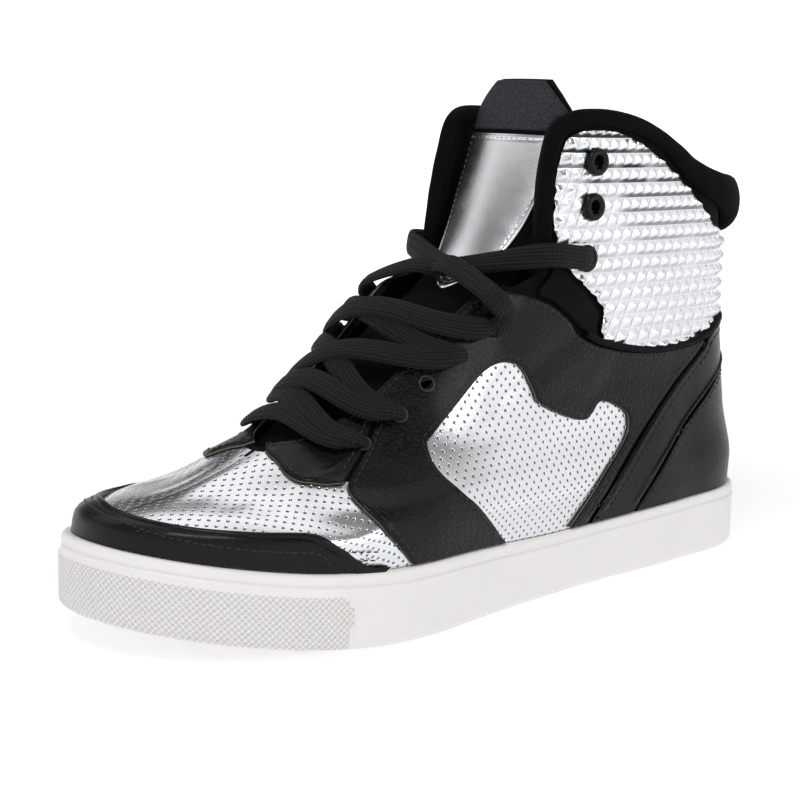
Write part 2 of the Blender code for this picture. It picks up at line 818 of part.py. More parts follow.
def cut(target, cutter):
    """Cuts a cutter's volume out of a piece."""
    cutter.hide_render = True
    cutter.display_type = "WIRE"
    modifier = target.modifiers.new("cut_" + cutter.name, "BOOLEAN")
    modifier.operation = "DIFFERENCE"
    modifier.solver = "EXACT"
    modifier.object = cutter


def make_insole(grid):
    """Padded sheet that lies on the cup's floor inside the upper."""
    edge = grid.points[:-1, 1] - grid.normals[:-1, 1] * (UPPER_WALL + SEAM_GAP)
    inner = grid.points[:-1, 1] - grid.normals[:-1, 1] * (UPPER_WALL + SEAM_GAP + INSOLE_BEVEL)
    rings = []
    for ring, height in ((edge, 0.0), (edge, INSOLE_THICK - INSOLE_BEVEL), (inner, INSOLE_THICK)):
        ring = ring.copy()
        ring[:, 2] = floor_height(ring[:, 0]) + FIT + height
        rings.append(ring)
    solid = bmesh.new()
    made = loft(solid, rings)
    ruled_fill(solid, made[0])
    ruled_fill(solid, made[-1])
    return finish(solid, "insole", GREY_FOAM)


def make_tongue(grid):
    """Padded tongue from under the vamp to above the collar."""
    outline = [(-1, TONGUE[0][0]), (1, TONGUE[0][0]), (1, TONGUE[-1][0]), (-1, TONGUE[-1][0])]
    solid = thicken(grid, flat_sheet(grid, outline), -TONGUE_THICK, 0.0)
    return finish(solid, "tongue", BLACK_LEATHER)


def with_crossings(path, spacing):
    """Path with a point more at each column line that it passes well inside a step."""
    margin = spacing / 4.5
    made = [path[0]]
    for start, end in zip(path, path[1:]):
        low, high = sorted((start[0], end[0]))
        lines = np.arange(math.ceil(low / spacing), math.floor(high / spacing) + 1) * spacing
        lines = [line for line in lines if low + margin < line < high - margin]
        for line in sorted(lines, reverse=bool(start[0] > end[0])):
            share = (line - start[0]) / (end[0] - start[0])
            made.append(start + (end - start) * share)
        made.append(end)
    return np.array(made)


def make_binding(grid):
    """Padded binding that wraps the collar's edge and swells into the heel roll."""
    collar = [row[1] >= COLLAR_START for row in OPENING].index(True)
    edge = curve_through(OPENING[collar:], closed=False, steps=1)
    edge = with_crossings(edge, 360.0 / COLUMNS)
    path = np.concatenate((edge, [(-u, v) for u, v in edge[::-1]][1:]))
    count = len(path)
    small = np.array([0.5, 0.5 / 180])
    rings = []
    for k, (u, v) in enumerate(path):
        share = 1 - abs(2 * k / (count - 1) - 1)
        sizes = (ROLL_DEPTH, ROLL_OUTSIDE, ROLL_INSIDE, ROLL_RISE)
        depth, outer, inner, rise = (
            size * float(table(BINDING, share, c)) for c, size in enumerate(sizes, 1))
        before = grid.read(*path[max(k - 1, 0)])[0]
        after = grid.read(*path[min(k + 1, count - 1)])[0]
        normal = grid.read(u, v)[1]
        inward = np.cross(after - before, normal)
        inward /= np.linalg.norm(inward)
        along_u = (grid.read(u + small[0], v)[0] - grid.read(u - small[0], v)[0]) / (2 * small[0])
        along_v = (grid.read(u, v + small[1])[0] - grid.read(u, v - small[1])[0]) / (2 * small[1])
        step = np.linalg.lstsq(np.stack((along_u, along_v), -1), inward, rcond=None)[0]
        gap = SEAM_GAP
        profile = (
            (depth, gap), (depth, outer * 0.55), (depth * 0.72, outer), (depth * 0.25, outer),
            (-rise * 0.7, outer * 0.55), (-rise, -UPPER_WALL / 2),
            (-rise * 0.6, -UPPER_WALL - inner * 0.6), (depth * 0.3, -UPPER_WALL - inner),
            (depth * 0.75, -UPPER_WALL - inner), (depth, -UPPER_WALL - inner * 0.5),
            (depth, -UPPER_WALL - gap), (-gap, -UPPER_WALL - gap), (-gap, gap),
        )
        ring = []
        for distance, offset in profile:
            if distance > 0:
                place = np.array([u, v]) + step * distance
                point, direction = grid.read(*place)
            else:
                point, direction = grid.read(u, v)
                point = point + inward * distance
            ring.append(point + direction * offset)
        rings.append(ring)
    solid = bmesh.new()
    made = loft(solid, rings)
    solid.faces.new(made[0])
    solid.faces.new(made[-1])
    return finish(solid, "collar_binding", BLACK_FABRIC)


def surface_frame(degrees, level):
    """Point and outward direction on the smooth last."""
    turn = np.radians(degrees)
    return last_point(turn, level), last_normal(turn, level)


def pin(mesh_data, point, normal, radius, low, high, sides):
    """Cylinder that stands on the last along its outward direction."""
    turn = Vector(normal).to_track_quat("Z", "Y").to_matrix().to_4x4()
    made = bmesh.ops.create_cone(mesh_data, cap_ends=True, segments=sides, radius1=radius * MM,
                                 radius2=radius * MM, depth=(high - low) * MM)
    bmesh.ops.translate(mesh_data, verts=made["verts"], vec=(0, 0, (high + low) / 2 * MM))
    bmesh.ops.transform(mesh_data, verts=made["verts"], matrix=turn)
    bmesh.ops.translate(mesh_data, verts=made["verts"], vec=Vector(point) * MM)


def bore_cutter(side, name):
    """Pins that cut the eyelet bores and lace holes of one side."""
    cutter = bmesh.new()
    for _, degrees, level in EYELETS:
        point, normal = surface_frame(side * degrees, level)
        pin(cutter, point, normal, EYELET_BARREL + BORE_CLEAR, -BORE_REACH, BORE_REACH, 8)
    for _, degrees, level in LACE_HOLES:
        point, normal = surface_frame(side * degrees, level)
        pin(cutter, point, normal, LACE_HOLE, -BORE_REACH, BORE_REACH, 6)
    return finish(cutter, name, BLACK_METAL, "cutters")


def make_eyelet(name, degrees, level):
    """Flanged metal eyelet through the collar panel and the upper."""
    point, normal = surface_frame(degrees, level)
    seat = FIT + COLLAR_PANEL_THICK + FIT
    profile = (
        (EYELET_HOLE, -UPPER_WALL),
        (EYELET_BARREL, -UPPER_WALL),
        (EYELET_BARREL, seat),
        (EYELET_RADIUS, seat),
        (EYELET_RADIUS - 1.0, seat + EYELET_FLANGE),
        (EYELET_HOLE, seat + EYELET_FLANGE * 0.6),
    )
    solid = bmesh.new()
    ring = [solid.verts.new((r * MM, 0, z * MM)) for r, z in profile]
    edges = [solid.edges.new((ring[k], ring[(k + 1) % len(ring)])) for k in range(len(ring))]
    bmesh.ops.spin(solid, geom=ring + edges, cent=(0, 0, 0), axis=(0, 0, 1),
                   angle=2 * math.pi, steps=10, use_merge=True)
    bmesh.ops.remove_doubles(solid, verts=solid.verts[:], dist=1e-6)
    turn = Vector(normal).to_track_quat("Z", "Y").to_matrix().to_4x4()
    bmesh.ops.transform(solid, verts=solid.verts[:], matrix=turn)
    bmesh.ops.translate(solid, verts=solid.verts[:], vec=Vector(point) * MM)
    return finish(solid, name, BLACK_METAL)


def ribbon(name, places):
    """Flat lace through places given as a point and an outward direction."""
    solid = bmesh.new()
    rings = []
    last = len(places) - 1
    for k, (point, normal) in enumerate(places):
        before = places[max(k - 1, 0)][0]
        after = places[min(k + 1, last)][0]
        side = np.cross(normal, after - before)
        side = side / np.linalg.norm(side) * LACE_WIDTH / 2
        high = point + normal * LACE_THICK
        rings.append((point - side, point + side, high + side * 0.9, high - side * 0.9))
    made = loft(solid, rings)
    solid.faces.new(made[0])
    solid.faces.new(made[-1])
    return finish(solid, name, BLACK_FABRIC)


def crossing(start, end, lift, base, stations=7):
    """Places of a lace that runs over the throat from one hole to another."""
    places = []
    for t in np.linspace(0, 1, stations):
        degrees = start[0] + (end[0] - start[0]) * t
        middle = math.sin(math.pi * t) ** 2
        level = start[1] + (end[1] - start[1]) * t + LACE_ARCH * middle
        point, normal = surface_frame(degrees, level)
        raised = LACE_LIFT + base + lift * LACE_OVER * middle
        places.append((point + normal * raised, normal))
    return places


def bar_places(side, over):
    """Places of the lace from one side's low eyelet over the tongue."""
    keys = []
    for k, (surface, across, level, lift) in enumerate(BAR):
        if surface == "last":
            point, normal = surface_frame(side * across, level)
        else:
            place = np.array(side * across), np.array(level)
            point, normal = tongue_point(*place), tongue_normal(*place)
        middle = math.sin(math.pi * k / (len(BAR) - 1)) ** 2
        keys.append((point + normal * (lift + over * middle), normal))
    places = []
    count = len(keys) - 1
    for t in np.linspace(0, count, 2 * count + 1):
        k = min(int(t), count - 1)
        near = [keys[min(max(n, 0), count)] for n in (k - 1, k, k + 1, k + 2)]
        place = [catmull([n[part] for n in near], t - k) for part in (0, 1)]
        places.append((place[0], place[1] / np.linalg.norm(place[1])))
    return places


def join(target, other):
    """Joins another solid into a piece."""
    modifier = target.modifiers.new("join_" + other.name, "BOOLEAN")
    modifier.operation = "UNION"
    modifier.solver = "EXACT"
    modifier.object = other
    other.hide_render = True
    other.display_type = "WIRE"
    for group in other.users_collection:
        group.objects.unlink(other)
    collection("cutters").objects.link(other)


def make_laces():
    """Crossed flat lace over the throat and the bars from the low eyelets."""
    holes = {name: (degrees, level) for name, degrees, level in LACE_HOLES}
    lace = None
    for number, (outer, inner, lift, base) in enumerate(CROSSINGS):
        start = holes[outer]
        end = (360.0 - holes[inner][0], holes[inner][1])
        name = "lace_crossings" if lace is None else "lace_band_%d" % number
        made = ribbon(name, crossing(start, end, lift, base))
        if lace is None:
            lace = made
        else:
            join(lace, made)
    bar = ribbon("lace_bar", bar_places(1, 0.0))
    join(bar, ribbon("lace_bar_inner", bar_places(-1, BAR_OVER)))


def strap_outline():
    """Closed outline of the heel strap on both sides."""
    bottom = HEEL_STRAP.index((0.0, 0.390, 0))
    top_side = HEEL_STRAP[:bottom]
    low_side = HEEL_STRAP[bottom:]
    return top_side + mirrored(top_side)[1:] + mirrored(low_side)[:-1] + low_side


def make_pull_strip(grid):
    """Strip that hangs from the heel roll down the heel's back."""
    low = FIT + COLLAR_PANEL_THICK + FIT
    panel(grid, "pull_strip", BLACK_FABRIC, PULL_STRIP, low, low + PULL_STRIP_THICK)


def main():
    """Makes the whole shoe."""
    for old in list(bpy.data.objects):
        bpy.data.objects.remove(old)
    grid = last_grid()
    tongue = tongue_grid()
    make_cupsole(grid)
    make_insole(grid)
    upper = make_upper(grid)
    make_tongue(tongue)
    high = FIT + OVERLAY_THICK
    panel(tongue, "tongue_badge", SILVER_LEATHER, BADGE, FIT, FIT + BADGE_THICK)
    panel(tongue, "tongue_tip", BLACK_LEATHER, TIP, FIT, FIT + BADGE_THICK)
    panel(grid, "toe_cap", BLACK_LEATHER, TOE_CAP, FIT, FIT + TOE_CAP_THICK)
    panel(grid, "throat_guard_lateral", BLACK_LEATHER, THROAT_GUARD, FIT, high)
    panel(grid, "throat_guard_medial", BLACK_LEATHER, mirrored(THROAT_GUARD), FIT, high)
    panel(grid, "heel_strap", BLACK_LEATHER, strap_outline(), FIT, high + STRAP_RISE)
    panel(grid, "heel_counter", BLACK_LEATHER, both_sides(HEEL_COUNTER), FIT, high)
    for side, name in ((1, "lateral"), (-1, "medial")):
        turned = (lambda rows: rows) if side == 1 else mirrored
        cutter = bore_cutter(side, "bores_" + name)
        quarter = panel(grid, "quarter_" + name, BLACK_LEATHER, turned(QUARTER), FIT, high)
        collar = panel(grid, "collar_panel_" + name, SILVER_LEATHER, turned(COLLAR_PANEL),
                       FIT, FIT + COLLAR_PANEL_THICK)
        panel(grid, "gusset_" + name, BLACK_FABRIC, turned(GUSSET), FIT, high)
        for target in (quarter, collar, upper):
            cut(target, cutter)
        for place, degrees, level in EYELETS:
            make_eyelet("eyelet_%s_%s" % (place, name), side * degrees, level)
    make_binding(grid)
    make_pull_strip(grid)
    make_laces()


main()
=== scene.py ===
"""Looks of a left high-top dance sneaker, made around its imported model.

Every piece is worked out in millimetres on the shoe's own surfaces, from the
heel's back, and then placed in the model's frame, in metres.
"""
import math

import bmesh
import bpy
import numpy as np
from mathutils import Matrix, Vector


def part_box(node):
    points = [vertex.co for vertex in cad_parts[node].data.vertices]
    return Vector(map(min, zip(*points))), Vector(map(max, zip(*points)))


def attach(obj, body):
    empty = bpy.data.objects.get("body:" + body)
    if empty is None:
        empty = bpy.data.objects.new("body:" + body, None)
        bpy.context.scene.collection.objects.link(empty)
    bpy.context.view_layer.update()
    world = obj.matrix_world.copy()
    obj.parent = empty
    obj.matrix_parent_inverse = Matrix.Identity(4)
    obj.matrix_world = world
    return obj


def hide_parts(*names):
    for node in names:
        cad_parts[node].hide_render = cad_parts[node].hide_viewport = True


bl_info = {
    "name": "High-top dance sneaker",
    "version": (1, 0, 0),
    "blender": (4, 5, 0),
    "location": "3D View > Sidebar > Sneaker",
    "description": "Makes the finished pieces of a high-top dance sneaker",
    "category": "Add Mesh",
}

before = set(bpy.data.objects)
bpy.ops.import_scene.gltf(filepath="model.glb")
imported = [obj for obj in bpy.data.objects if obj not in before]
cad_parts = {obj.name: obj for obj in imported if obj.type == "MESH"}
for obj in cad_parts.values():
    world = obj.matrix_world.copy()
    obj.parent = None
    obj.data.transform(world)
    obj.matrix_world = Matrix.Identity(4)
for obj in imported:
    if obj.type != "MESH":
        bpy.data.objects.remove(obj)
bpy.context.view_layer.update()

MM = 0.001
SOLE_LOW, SOLE_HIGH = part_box("cupsole")

# The outer side is +Y and the inner side -Y
SIDES = ((1, "lateral"), (-1, "medial"))

# Sizes of the sole and the last, in millimetres
BUMPER_STEP = 0.8
LENGTH = (SOLE_HIGH.x - SOLE_LOW.x) / MM - BUMPER_STEP
HEEL_SEAT = -SOLE_LOW.x / MM
BALL_WIDTH = 111.0
SOLE_SIDE = 25.0
TOE_SPRING = 10.5
INSTEP_HEIGHT = 84.5
HEEL_HEIGHT = 161.0
UPPER_WALL = 2.0
FIT = 0.35
SPRING_START = 0.655
BUMPER_START = 232.0
BUMPER_ROUND = 9.0
FLOOR_HEEL = 13.0
FLOOR_BALL = 9.0
FLOOR_END = 0.62
ARCH_RISE = 1.4
ARCH_INSET = 9.0
ARCH_MIDDLE = 0.41
ARCH_REACH = 0.15
GROOVE_WIDTH = 3.0
GROOVE_DEPTH = 1.6
GROOVE_MARGIN = 9.0
BURIED = -0.10

# Sizes of what is laid on the last
OVERLAY_TOP = 1.65
TOE_CAP_TOP = 1.95
PATCH_TOP = 1.45
TONGUE_THICK = 4.5
TONGUE_DEPTH = 3.0
TONGUE_LEAN = 22.0
ROLL_DEPTH = 20.0
ROLL_OUTSIDE = 10.0
ROLL_INSIDE = 7.0
ROLL_RISE = 5.0
INSOLE_THICK = 4.0
PIPING_SIZE = 2.7
LACE_CUP = 0.22
LACE_SIDES = 14
# Studs: the level at which they are measured round the shoe, the height of their
# grooves, half their foot and their flat top, and their cuts, as shares of one
STUD_LEVEL = 0.70
STUD_BASE = 1.15
STUD_FOOT = 0.88
STUD_FLAT = 0.16
STUD_CUTS = (0.0, 0.06, 0.42, 0.58, 0.94)
EYELET_RADIUS = 5.0
EYELET_BARREL = 2.9
EYELET_HOLE = 2.2
LACE_HOLE = 2.2

# The flat sheet that a panel is cut from: millimetres for a degree round the
# last, for one level and for the tongue's half width, and its cells' two widths
DEGREE_MM = 1.7
LEVEL_MM = 180.0
TONGUE_MM = 33.0
CELL_ACROSS = 3.2
CELL_UP = 2.3

# Half width of the sole: share of length, share of half the ball width
WIDTHS = (
    (0.00, 0.720), (0.15, 0.722), (0.22, 0.735), (0.33, 0.728), (0.40, 0.743),
    (0.47, 0.778), (0.535, 0.828), (0.60, 0.895), (0.67, 0.960), (0.74, 0.985),
    (0.82, 0.985), (0.90, 0.960), (1.00, 0.940),
)
# Centre line of the sole: share of length, share of half the ball width
CURVE = (
    (0.00, 0.020), (0.10, 0.026), (0.33, 0.075), (0.46, 0.086), (0.60, 0.065),
    (0.74, 0.044), (0.82, 0.024), (0.90, -0.012), (1.00, -0.075),
)
# Height of the sole's side: share of length, share of the side height
SIDE = ((0.00, 1.00), (0.20, 0.95), (0.42, 0.90), (0.66, 1.00), (1.00, 1.00))
SOLE_HEEL_ROUND = 40.0
SOLE_TOE_ROUND = 82.0
SOLE_HEEL_POWER = 2.5
SOLE_TOE_POWER = 2.1

# Side of the sole from the tread to the lip: share of height, inset
SIDE_PROFILE = (
    (0.000, 2.60), (0.012, 1.55), (0.035, 0.75), (0.075, 0.20), (0.120, 0.00),
    (0.300, 0.00), (0.500, 0.00), (0.700, 0.00), (0.785, 0.00), (0.805, 0.12),
    (0.822, 0.55), (0.840, 0.62), (0.858, 0.22), (0.880, 0.10), (0.930, 0.18),
    (0.962, 0.45), (0.985, 0.90), (1.000, 1.60),
)

# Tilted rings of the last: level, heel x and heel z as shares of length and heel
# height, front x and front z as shares of length and instep height, width share,
# heel round, heel power, front round, front power, share of the sole's curve
RINGS = (
    (0.00, 0.0168, 0.155, 0.983, 0.4135, 0.945, 0.127, 2.5, 0.268, 2.1, 1.0),
    (0.08, 0.0150, 0.224, 0.978, 0.4801, 0.950, 0.127, 2.5, 0.275, 2.1, 1.0),
    (0.16, 0.0150, 0.292, 0.945, 0.5202, 0.910, 0.127, 2.4, 0.318, 2.1, 1.0),
    (0.24, 0.0184, 0.360, 0.881, 0.5621, 0.860, 0.127, 2.3, 0.375, 2.0, 0.9),
    (0.32, 0.0200, 0.429, 0.807, 0.6459, 0.830, 0.121, 2.2, 0.402, 2.0, 0.8),
    (0.40, 0.0235, 0.497, 0.735, 0.7812, 0.815, 0.114, 2.2, 0.385, 2.0, 0.7),
    (0.50, 0.0290, 0.578, 0.660, 1.0003, 0.810, 0.114, 2.2, 0.335, 2.0, 0.6),
    (0.60, 0.0305, 0.658, 0.596, 1.2251, 0.805, 0.114, 2.2, 0.275, 2.0, 0.5),
    (0.70, 0.0280, 0.739, 0.543, 1.4442, 0.800, 0.114, 2.2, 0.221, 2.0, 0.4),
    (0.80, 0.0225, 0.826, 0.503, 1.6805, 0.795, 0.121, 2.1, 0.174, 2.0, 0.4),
    (0.90, 0.0130, 0.913, 0.476, 1.9168, 0.795, 0.121, 2.1, 0.154, 2.0, 0.4),
    (1.00, 0.0060, 1.000, 0.459, 2.1530, 0.795, 0.121, 2.0, 0.147, 2.0, 0.4),
    (1.10, 0.0010, 1.087, 0.442, 2.3893, 0.795, 0.121, 2.0, 0.147, 2.0, 0.4),
)
# Outlines on the last: degrees round from the heel's back, level, corner flag
OPENING = (
    (180.0, 0.352, 0), (166.0, 0.362, 0), (157.0, 0.400, 0), (152.0, 0.460, 0),
    (148.0, 0.520, 0), (143.5, 0.585, 0), (140.0, 0.622, 0), (135.0, 0.634, 0),
    (127.0, 0.637, 0), (123.0, 0.660, 0), (125.5, 0.705, 0), (131.0, 0.770, 0),
    (135.0, 0.825, 0), (137.0, 0.880, 0), (136.0, 0.930, 0), (129.0, 0.957, 0),
    (119.0, 0.969, 0), (109.0, 0.973, 0), (99.0, 0.970, 0), (89.0, 0.957, 0),
    (78.0, 0.932, 0), (67.0, 0.902, 0), (54.0, 0.882, 0), (36.0, 0.872, 0),
    (18.0, 0.868, 0), (0.0, 0.866, 0),
)
COLLAR_START = 0.66
TOE_CAP = (
    (121.5, 0.004, 1), (125.1, 0.030, 0), (128.5, 0.070, 0), (134.0, 0.110, 0),
    (144.6, 0.114, 0), (154.4, 0.118, 0), (166.8, 0.129, 0), (180.0, 0.145, 0),
    (192.0, 0.148, 0), (206.0, 0.130, 0), (218.0, 0.116, 0), (227.0, 0.104, 0),
    (232.5, 0.065, 0), (236.0, 0.030, 0), (239.5, 0.004, 1),
)
THROAT_GUARD = (
    (137.0, 0.262, 1), (144.2, 0.265, 0), (150.0, 0.280, 0), (156.0, 0.300, 0),
    (162.9, 0.324, 0), (172.0, 0.343, 1), (176.0, 0.356, 1), (166.0, 0.368, 0),
    (159.0, 0.396, 0), (155.5, 0.425, 1), (147.0, 0.400, 1), (141.0, 0.330, 0),
)
QUARTER = (
    (114.8, 0.004, 1), (123.0, 0.132, 0), (135.6, 0.257, 1), (140.0, 0.330, 0),
    (146.3, 0.405, 1), (154.5, 0.430, 1), (152.6, 0.465, 0), (148.8, 0.520, 0),
    (144.6, 0.580, 0), (141.0, 0.614, 0), (135.1, 0.627, 0), (129.5, 0.626, 0),
    (121.4, 0.614, 0), (112.6, 0.593, 0), (103.5, 0.556, 0), (96.7, 0.518, 0),
    (87.9, 0.486, 0), (72.4, 0.449, 0), (57.0, 0.436, 0), (45.0, 0.444, 1),
    (46.0, 0.424, 0), (57.0, 0.336, 0), (64.6, 0.212, 0), (70.6, 0.088, 0),
    (75.5, 0.004, 1), (79.5, 0.004, 1), (74.5, 0.083, 0), (69.4, 0.184, 0),
    (68.0, 0.232, 0), (69.0, 0.275, 0), (72.0, 0.305, 0), (77.0, 0.335, 0),
    (80.5, 0.340, 0), (81.3, 0.312, 0), (83.5, 0.302, 0), (95.6, 0.359, 0),
    (100.7, 0.385, 0), (104.5, 0.419, 0), (108.5, 0.452, 0), (114.0, 0.478, 0),
    (119.5, 0.485, 0), (123.4, 0.467, 0), (125.3, 0.414, 0), (126.0, 0.355, 0),
    (124.0, 0.322, 0), (104.2, 0.144, 0), (94.5, 0.004, 1),
)
HEEL_STRAP = (
    (74.6, 0.004, 1), (69.7, 0.088, 0), (63.6, 0.212, 0), (56.0, 0.336, 0),
    (45.0, 0.424, 0), (42.5, 0.452, 0), (36.0, 0.474, 0), (18.0, 0.488, 0), (0.0, 0.492, 0),
    (0.0, 0.390, 0), (12.0, 0.384, 0), (25.0, 0.360, 0), (35.1, 0.327, 0), (42.4, 0.282, 0),
    (50.2, 0.210, 0), (58.2, 0.102, 0), (64.1, 0.004, 1),
)
HEEL_COUNTER = (
    (63.2, 0.004, 1), (57.2, 0.100, 0), (49.2, 0.206, 0), (41.4, 0.276, 0),
    (34.1, 0.320, 0), (24.5, 0.353, 0), (12.0, 0.377, 0), (0.0, 0.383, 0),
)
COLLAR_PANEL = (
    (0.35, 0.512, 1), (18.0, 0.508, 0), (36.0, 0.494, 0), (43.5, 0.471, 0),
    (52.0, 0.455, 0), (60.0, 0.452, 0), (72.4, 0.462, 0), (87.0, 0.497, 1),
    (90.0, 0.530, 0), (91.4, 0.568, 0), (100.2, 0.616, 0), (108.0, 0.650, 0),
    (118.0, 0.700, 0), (125.5, 0.760, 0), (129.5, 0.816, 0), (131.5, 0.868, 0),
    (130.5, 0.908, 0), (126.0, 0.926, 0), (118.0, 0.936, 0), (108.6, 0.938, 0),
    (98.4, 0.928, 0), (87.9, 0.904, 0), (77.0, 0.872, 0), (64.0, 0.828, 0),
    (50.0, 0.768, 0), (36.0, 0.735, 0), (18.0, 0.722, 0), (0.35, 0.718, 1),
)
PIPING = (
    (0.0, 0.502, 0), (18.0, 0.498, 0), (36.0, 0.484, 0), (43.0, 0.462, 0), (50.0, 0.449, 0),
    (60.0, 0.444, 0), (72.4, 0.456, 0), (87.5, 0.492, 0), (95.0, 0.520, 0),
)
GUSSET = (
    (96.2, 0.529, 1), (103.5, 0.564, 0), (112.6, 0.601, 0), (118.5, 0.617, 0),
    (117.8, 0.655, 1), (116.8, 0.684, 1), (110.0, 0.648, 0), (101.6, 0.610, 0),
    (93.0, 0.563, 0), (91.6, 0.530, 0), (89.5, 0.500, 1),
)
# Collar binding: share of the way from the throat to the heel's back, then its
# depth, thickness outside, thickness inside and rise as shares of the roll's
BINDING = (
    (0.00, 0.20, 0.18, 0.31, 0.24), (0.10, 0.21, 0.24, 0.40, 0.30),
    (0.45, 0.23, 0.26, 0.46, 0.30), (0.62, 0.33, 0.30, 0.51, 0.36),
    (0.75, 0.45, 0.40, 0.63, 0.48), (0.82, 0.62, 0.60, 0.74, 0.64),
    (0.88, 0.88, 0.85, 0.86, 0.84), (1.00, 1.00, 1.00, 1.00, 1.00),
)
# Degrees round at the collar's edge and the share of the way to the heel there
COLLAR_SHARE = np.array((
    (129.0, 0.261), (126.0, 0.304), (119.0, 0.348), (109.0, 0.391), (99.0, 0.435),
    (89.0, 0.478), (81.0, 0.522), (78.0, 0.565), (72.0, 0.609), (67.0, 0.652), (63.0, 0.696),
    (54.0, 0.739), (45.0, 0.783), (36.0, 0.826), (27.0, 0.870), (18.0, 0.913), (9.0, 0.957),
    (0.0, 1.000),
))
# Degrees round of the upper's front, where the holes run over its top, by level
PATTERN_TURNS = ((0.0, 0.13, 0.29, 0.35, 0.41, 0.50, 0.70), (104, 112, 128, 133, 135, 140, 160))
# Highest level that is silver, by degrees round; above it the upper is faced black
SILVER_TOP = ((0, 57, 72, 88, 97, 104, 113, 121, 127, 131, 137, 144, 150, 156, 163, 172, 180),
              (0.40, 0.40, 0.42, 0.44, 0.47, 0.50, 0.53, 0.55, 0.50, 0.274, 0.274, 0.277, 0.292,
               0.312, 0.336, 0.352, 0.335))
# Level, and the degrees round behind which the upper is faced black there
SILVER_BACK = ((0.0, 0.085, 0.185, 0.232, 0.275, 0.34), (77.3, 72.4, 67.0, 66.0, 66.6, 74.0))
# Tongue sections: level, half width in degrees, share of its lean toward the
# heel, share of the last's bow that is left
TONGUE = (
    (0.300, 22.0, 0.00, 1.00), (0.360, 30.0, 0.00, 1.00), (0.440, 36.0, 0.00, 1.00),
    (0.500, 40.0, 0.11, 0.95), (0.550, 42.0, 0.36, 0.85), (0.600, 44.0, 0.73, 0.70),
    (0.650, 45.0, 0.95, 0.60), (0.720, 46.0, 1.00, 0.55), (0.800, 47.0, 0.98, 0.50),
    (0.880, 47.5, 0.98, 0.50), (0.935, 45.0, 1.00, 0.50), (0.975, 33.0, 1.02, 0.50),
    (1.010, 20.0, 1.04, 0.50),
)
# Outlines on the tongue: share of its half width, level, corner flag
BADGE = (
    (0.75, 0.906, 1), (0.76, 0.850, 0), (0.75, 0.790, 0), (0.62, 0.700, 0), (0.42, 0.660, 0),
    (0.20, 0.635, 0), (0.03, 0.632, 0), (-0.35, 0.662, 0), (-0.62, 0.705, 0), (-0.80, 0.790, 0),
    (-0.86, 0.850, 0), (-0.88, 0.906, 1),
)
TIP = (
    (0.90, 0.913, 1), (0.90, 0.945, 0), (0.88, 0.970, 0), (0.80, 1.003, 1), (-0.80, 1.003, 1),
    (-0.88, 0.970, 0), (-0.90, 0.945, 0), (-0.90, 0.913, 1),
)
# Collar eyelets and lace holes: name, degrees round, level
EYELETS = (
    ("top", 116.4, 0.876), ("middle", 112.2, 0.790), ("low", 107.4, 0.688),
)
LACE_HOLES = (
    ("first", 143.5, 0.355), ("second", 140.5, 0.408), ("third", 138.9, 0.461),
    ("fourth", 133.4, 0.508), ("fifth", 128.0, 0.556),
)
# Lace crossings: row on the outer side, row on the inner side, lift in the
# middle, lift at the ends
CROSSINGS = (
    ("first", "first", 0.0, 0.00), ("first", "second", 0.0, 0.35),
    ("second", "second", 1.0, 0.50), ("second", "fourth", 0.0, 0.15),
    ("fourth", "second", 1.0, 0.30), ("fourth", "fifth", 0.0, 0.00),
    ("fifth", "fourth", 1.0, 0.45),
)
# Lace from a low eyelet over the tongue to the other side's fifth hole: surface,
# degrees round or share of the tongue's half width, level, lift
BAR = (
    ("last", 114.0, 0.692, 4.5), ("last", 125.0, 0.695, 4.5), ("tongue", 0.62, 0.672, 3.0),
    ("tongue", 0.00, 0.655, 3.0), ("tongue", -0.35, 0.634, 7.5), ("last", 224.0, 0.606, 6.8),
    ("last", 230.5, 0.578, 6.2),
)
BAR_OVER = 2.5
LACE_ARCH = 0.045
LACE_PINCH = 9.0
# Lift of a lace over the last near its holes: millimetres from the hole's middle
LACE_DIVE = ((0.0, -1.2), (2.6, 1.7), (5.0, 2.3), (11.0, 2.6), (20.0, 3.0), (60.0, 3.0))
# Tread grooves: share of length of the first and last, number
GROOVES = (
    (0.07, 0.27, 5), (0.62, 0.90, 8),
)

# Soft creases, on both sides of the shoe: degrees round and level of each end,
# half width and depth in millimetres; a negative depth is a ridge
CREASES = (
    (128.0, 0.150, 146.0, 0.200, 5.0, 0.55),
    (124.0, 0.205, 140.0, 0.262, 4.0, 0.45),
    (150.0, 0.240, 168.0, 0.262, 7.0, 0.60),
    (141.0, 0.285, 150.0, 0.345, 3.4, 0.70),
    (146.0, 0.310, 156.0, 0.360, 3.0, 0.60),
    (118.0, 0.080, 128.0, 0.120, 6.0, 0.40),
    (100.0, 0.500, 112.0, 0.420, 6.0, 0.60),
    (86.0, 0.430, 98.0, 0.460, 6.0, -0.40),
    (60.0, 0.390, 80.0, 0.400, 7.0, 0.50),
    (18.0, 0.200, 50.0, 0.150, 9.0, 0.45),
    (110.0, 0.560, 128.0, 0.590, 5.0, -0.35),
    (70.0, 0.500, 95.0, 0.560, 8.0, 0.60),
)
RIPPLE = 0.16


